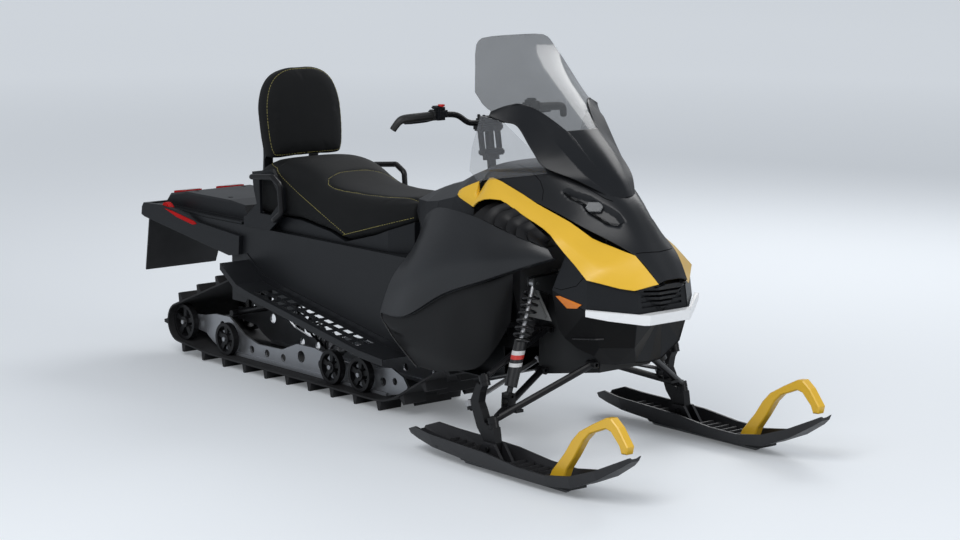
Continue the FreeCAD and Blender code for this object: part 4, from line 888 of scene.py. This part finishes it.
cells = 20
glass_rows = [[on_screen(half * k / cells, z) for k in range(-cells, cells + 1)]
              for z, half in screen_rows]
glass = strip("screen_glass", glass_rows, thick=0.005, outward=(1, 0, 0.6), steps=3)
polish(glass, screen("smoked_screen", (0.10, 0.105, 0.11), rough=0.08, through=0.50),
       "windshield", angle=60)
dress(screen("clear_screen", (0.3, 0.31, 0.33), rough=0.08, through=0.84), "side_deflectors")

# Front suspension: arms and spindles of black steel, joined to the steering by bare
# steel rods. Each shock stands in a coil spring of round wire, and one more spring
# stands on the slide's damper.
dress(black_coat, "upper_arms", "lower_arms", "spindle_right", "spindle_left")
dress(bare_steel, "tie_rod_right", "tie_rod_left")


def tube(name, points, radius, radii=None, detail=8):
    """Round bar along a smooth line through control points, as a mesh."""
    curve = bpy.data.curves.new(name, "CURVE")
    curve.dimensions = "3D"
    curve.bevel_depth = radius
    curve.bevel_resolution = 3
    curve.resolution_u = detail
    curve.use_fill_caps = True
    line = curve.splines.new("NURBS")
    line.points.add(len(points) - 1)
    for k, p in enumerate(points):
        line.points[k].co = (*p, 1)
        line.points[k].radius = radii[k] if radii else 1.0
    line.order_u = 3
    line.use_endpoint_u = True
    shape = placed(name, curve)
    piece = placed(name, bpy.data.meshes.new_from_object(shape))
    bpy.data.objects.remove(shape)
    return piece


def wound(name, a, b, radius, wire_radius, turns):
    """Coil spring of round wire on the axis from a to b, its end turns closed up."""
    points_a_turn, closed_up = 14, 0.10
    steps = turns * points_a_turn
    way = Vector(b) - Vector(a)
    turn = way.to_track_quat("Z", "X")
    points = []
    for k in range(steps + 1):
        t = k / steps
        swing = 2 * math.pi * turns * t
        climb = way.length * (t - closed_up * math.sin(2 * math.pi * t) / (2 * math.pi))
        spot = Vector((radius * math.cos(swing), radius * math.sin(swing), climb))
        points.append(Vector(a) + turn @ spot)
    return tube(name, points, wire_radius, detail=2)


def along(a, b, distance):
    """Point at a distance from a towards b."""
    return Vector(a) + (Vector(b) - Vector(a)).normalized() * distance


spring_black = coated("spring_black", (0.010, 0.010, 0.011), 0.28, grain=500, spec=0.5)
shock_top, shock_foot = (0.915, -0.234, 0.611), (0.936, -0.364, 0.242)
coil_start, coil_end = (along(shock_top, shock_foot, distance) for distance in (0.036, 0.203))
pair(wound("front_spring_right", coil_start, coil_end, radius=0.028, wire_radius=0.0045, turns=7),
     spring_black, "front_springs")
knee, shaft = (-0.835, 0.0, 0.2635), (-0.500, 0.0, 0.122)
coil_start, coil_end = along(knee, shaft, 0.036), along(shaft, knee, 0.036)
polish(wound("slide_spring", coil_start, coil_end, radius=0.027, wire_radius=0.005, turns=9),
       spring_black, "skid_spring")


def banded(name, low, high, stops):
    """Finish that changes with height: each stop is a height, a colour and a metal share."""
    material, tree, shader = new_finish(name)
    where = new_node(tree, "TexCoord")
    axes = new_node(tree, "SeparateXYZ")
    height = new_node(tree, "MapRange", From_Min=low, From_Max=high)
    fine = new_node(tree, "TexNoise", Scale=300.0)
    gloss = new_node(tree, "MapRange", To_Min=0.24, To_Max=0.36)
    paint, metal = (new_node(tree, "ValToRGB") for _ in range(2))
    for ramp, pick in ((paint.color_ramp, 1), (metal.color_ramp, 2)):
        ramp.interpolation = "CONSTANT"
        for k, stop in enumerate(stops):
            spot = ramp.elements[k] if k < 2 else ramp.elements.new(1.0)
            spot.position = (stop[0] - low) / (high - low)
            value = stop[pick]
            spot.color = (*value, 1) if pick == 1 else (value, value, value, 1)
    wire(tree, (where, "Object", axes, 0), (axes, "Z", height, "Value"),
         (height, "Result", paint, "Fac"), (height, "Result", metal, "Fac"),
         (paint, "Color", shader, "Base Color"), (metal, "Color", shader, "Metallic"),
         (where, "Object", fine, "Vector"), (fine, "Fac", gloss, "Value"),
         (gloss, "Result", shader, "Roughness"))
    return material


dark, white, red = (0.012, 0.012, 0.013), (0.62, 0.62, 0.62), (0.55, 0.04, 0.03)
dress(banded("shock_finish", 0.20, 0.65, [
    (0.20, dark, 0.0), (0.338, white, 0.0), (0.350, dark, 0.0), (0.362, red, 0.0),
    (0.376, white, 0.0), (0.390, dark, 0.0), (0.432, (0.50, 0.50, 0.51), 0.9)]), "front_shocks")

# Skis: black moulded nylon blades with a steel wear rod underneath, and a looped
# handle at each tip in the panels' yellow.
dress(coated("ski_nylon", (0.014, 0.014, 0.016), 0.42, grain=800, depth=0.25), "ski_right", "ski_left")
dress(bare_steel, "ski_runner_right", "ski_runner_left")
dress(yellow, "ski_handle_right", "ski_handle_left")

# Front details: a cast bracket plate with a rib behind each shock, thin black trim
# beads on the side panel and the belly, and a seam across each side of the nose.
cast_grey = coated("cast_grey", (0.26, 0.26, 0.255), 0.5, metal=0.3, grain=420, depth=0.2, edge=0.002)
plate_line = [
    (0.805, 0.600), (0.857, 0.606), (0.857, 0.565), (0.925, 0.470), (0.800, 0.470), (0.796, 0.492),
    (0.826, 0.561)]
rib_line = [(0.842, 0.560), (0.850, 0.560), (0.905, 0.480), (0.893, 0.480)]
plate = [flat_piece("plate", [(x, -0.158, z) for x, z in plate_line], (0, -0.005, 0), soft=0.0015),
         flat_piece("rib", [(x, -0.163, z) for x, z in rib_line], (0, -0.005, 0), soft=0.0015)]
pair(merge("shock_plate_right", plate), cast_grey)
bead_line = [
    (0.158, -0.303, 0.410), (0.176, -0.312, 0.388), (0.203, -0.312, 0.364), (0.245, -0.309, 0.321),
    (0.362, -0.301, 0.239)]
rib_from = [(1.080 + 0.006 * k, -0.5, 0.440 + 0.0007 * k) for k in range(21)]
rib_on_skin = [settled(nodes["belly_shell"], p, (0, 1, 0))[0] - Vector((0, 0.001, 0)) for p in rib_from]
beads = [tube("bead", bead_line, 0.0032), tube("belly_rib", rib_on_skin, 0.003)]
pair(merge("trim_beads_right", beads), spring_black)
pair(gap_line("nose_seam_right", nodes["nose_panels"], [
    (1.171, -0.25, 0.669), (1.132, -0.25, 0.630), (1.058, -0.25, 0.607), (1.008, -0.25, 0.610)],
    (0, 1, 0)), gap_and_shade_black)

# Handlebar: one bent steel tube, powder-coated black, clamped on a riser over the
# steering post. Each end has a rubber grip with a hook, a moulded switch block and a
# lever, and a red stop switch stands on the right block.
bar_line = [
    (0.360, -0.396, 1.103), (0.366, -0.390, 1.114), (0.373, -0.372, 1.128), (0.378, -0.34, 1.132),
    (0.385, -0.200, 1.136), (0.387, -0.150, 1.134), (0.391, -0.126, 1.126), (0.397, -0.094, 1.101),
    (0.399, -0.06, 1.097)]
both_ways = bar_line + [(x, -y, z) for x, y, z in bar_line[::-1]]
grip_line = [
    (0.357, -0.400, 1.093), (0.366, -0.391, 1.112), (0.3725, -0.380, 1.126), (0.375, -0.364, 1.1305),
    (0.378, -0.33, 1.132), (0.3835, -0.244, 1.1345)]
lever_line = [
    (0.366, -0.222, 1.122), (0.352, -0.240, 1.114), (0.345, -0.275, 1.111), (0.345, -0.318, 1.110),
    (0.350, -0.340, 1.113)]


def boxed(name, centre, size, soft):
    """Block with rounded edges about a centre."""
    (x, y, z), (a, b, c) = centre, (v / 2 for v in size)
    base = [(x + a * p, y + b * q, z - c) for p, q in ((-1, -1), (1, -1), (1, 1), (-1, 1))]
    return flat_piece(name, base, (0, 0, 2 * c), soft)


def bolt(name, place, way, radius, height):
    """Domed hexagon bolt head on its washer, standing on a face."""
    sides, washer = 18, 1.35
    turn = Vector(way).normalized().to_track_quat("Z", "X")
    work = bmesh.new()
    rings = []
    for share, rise in ((washer, 0.0), (washer, 0.25), (1.0, 0.3), (1.0, 0.85), (0.75, 1.0)):
        ring = []
        for k in range(sides):
            angle = 2 * math.pi * k / sides
            flat = 1.0 if share == washer else 0.93 + 0.07 * abs(math.cos(3 * angle))
            reach = radius * share * flat
            spot = Vector((reach * math.cos(angle), reach * math.sin(angle), height * rise))
            ring.append(work.verts.new(Vector(place) + turn @ spot))
        rings.append(ring)
    for a, b in zip(rings, rings[1:]):
        for k in range(sides):
            work.faces.new((a[k], a[(k + 1) % sides], b[(k + 1) % sides], b[k]))
    work.faces.new(rings[-1])
    work.faces.new(rings[0][::-1])
    return from_work(name, work)


riser_foot = Vector((0.419, 0, 0.950))
riser_axis = (Vector((0.397, 0, 1.112)) - riser_foot).normalized()
bar_parts = [tube("bar", both_ways, 0.0108),
             tube("post", [riser_foot + riser_axis * up for up in (-0.058, 0, 0.145)], 0.016),
             tube("collar", [riser_foot + riser_axis * up for up in (0.014, 0.034)], 0.030),
             boxed("clamp_low", (0.399, 0, 1.080), (0.054, 0.104, 0.026), soft=0.006),
             boxed("clamp_cap", (0.398, 0, 1.106), (0.044, 0.088, 0.026), soft=0.007)]
leg_line = [(0.386, 1.085), (0.414, 1.085), (0.430, 0.988), (0.404, 0.988)]
for y in (-0.034, 0.034):
    bar_parts.append(flat_piece("riser_leg", [(x, y, z) for x, z in leg_line],
                                (0, math.copysign(0.011, y), 0), soft=0.003))
    for x in (0.383, 0.411):
        bar_parts.append(bolt("cap_bolt", (x, y * 0.9, 1.118), (0, 0, 1), radius=0.0055, height=0.008))
bar_parts.append(boxed("riser_base", (0.418, 0, 0.992), (0.046, 0.092, 0.022), soft=0.005))
polish(merge("handle_bar", bar_parts), black_coat, "handlebar", body="steering")
grip = [tube("grip", grip_line, 0.0154, radii=(0.80, 0.84, 0.92, 0.98, 1.0, 1.0)),
        tube("flange", [(0.3829, -0.250, 1.1369), (0.3832, -0.243, 1.1371)], 0.0205)]
pair(merge("grip_right", grip), rubber("grip_rubber", (0.008, 0.008, 0.008), rough=0.55, grain=1200),
     "handlebar_grips", body="steering")
controls = [boxed("switch_block", (0.384, -0.212, 1.140), (0.046, 0.054, 0.046), soft=0.011),
            boxed("switch_hood", (0.380, -0.222, 1.162), (0.030, 0.030, 0.012), soft=0.004),
            boxed("perch", (0.362, -0.216, 1.126), (0.026, 0.040, 0.022), soft=0.005),
            tube("lever", lever_line, 0.0052, radii=(1.2, 1.1, 0.9, 0.85, 1.1))]
pair(merge("control_right", controls), body_black, "handlebar_controls", body="steering")
stop_red = coated("stop_red", (0.62, 0.02, 0.015), 0.35, grain=900, depth=0.05)
stop_switch = [tube("stem", [(0.388, -0.207, 1.160), (0.388, -0.207, 1.168)], 0.007),
               tube("knob", [(0.388, -0.207, 1.166), (0.388, -0.207, 1.1725)], 0.0125)]
polish(merge("stop_switch", stop_switch), stop_red, body="steering")

# Tail: red strip and corner lamp on the bumper each side, and two pale reflectors
# with red rims that stand level on the rear slope of the deck's hump.
lamp_red = coated("tail_lens", (0.50, 0.003, 0.003), 0.5, grain=700, depth=0.05, edge=0.002, spec=0.15)
pale_lens = coated("pale_lens", (0.42, 0.42, 0.42), 0.35, grain=700, depth=0.05, edge=0.002)
strip_line = [
    (-1.362, 0.612), (-1.300, 0.607), (-1.140, 0.583), (-1.124, 0.573), (-1.150, 0.567),
    (-1.262, 0.584)]
corner_line = [(-1.400, 0.608), (-1.372, 0.634), (-1.352, 0.632), (-1.330, 0.614), (-1.340, 0.604)]
tail_lamp = [flat_piece("strip", [(x, -0.2365, z) for x, z in strip_line], (0, -0.004, 0), soft=0.001),
             flat_piece("corner", [(x, -0.234, z) for x, z in corner_line], (0, 0.030, 0), soft=0.003)]
pair(merge("tail_lights_right", tail_lamp), lamp_red)
reflector = []
for finish, inset, tall in ((lamp_red, 0.0, 0.014), (pale_lens, 0.005, 0.0152)):
    corners = [(-1.424 + inset, -0.148 + inset, 0.655), (-1.340 - inset, -0.144 + inset, 0.6655),
               (-1.340 - inset, -0.066 - inset, 0.6655), (-1.424 + inset, -0.060 - inset, 0.655)]
    reflector.append(flat_piece("reflector", corners, (0, 0, tall), soft=0.0008))
    reflector[-1].data.materials.append(finish)
pair(merge("reflector_right", reflector), lamp_red)
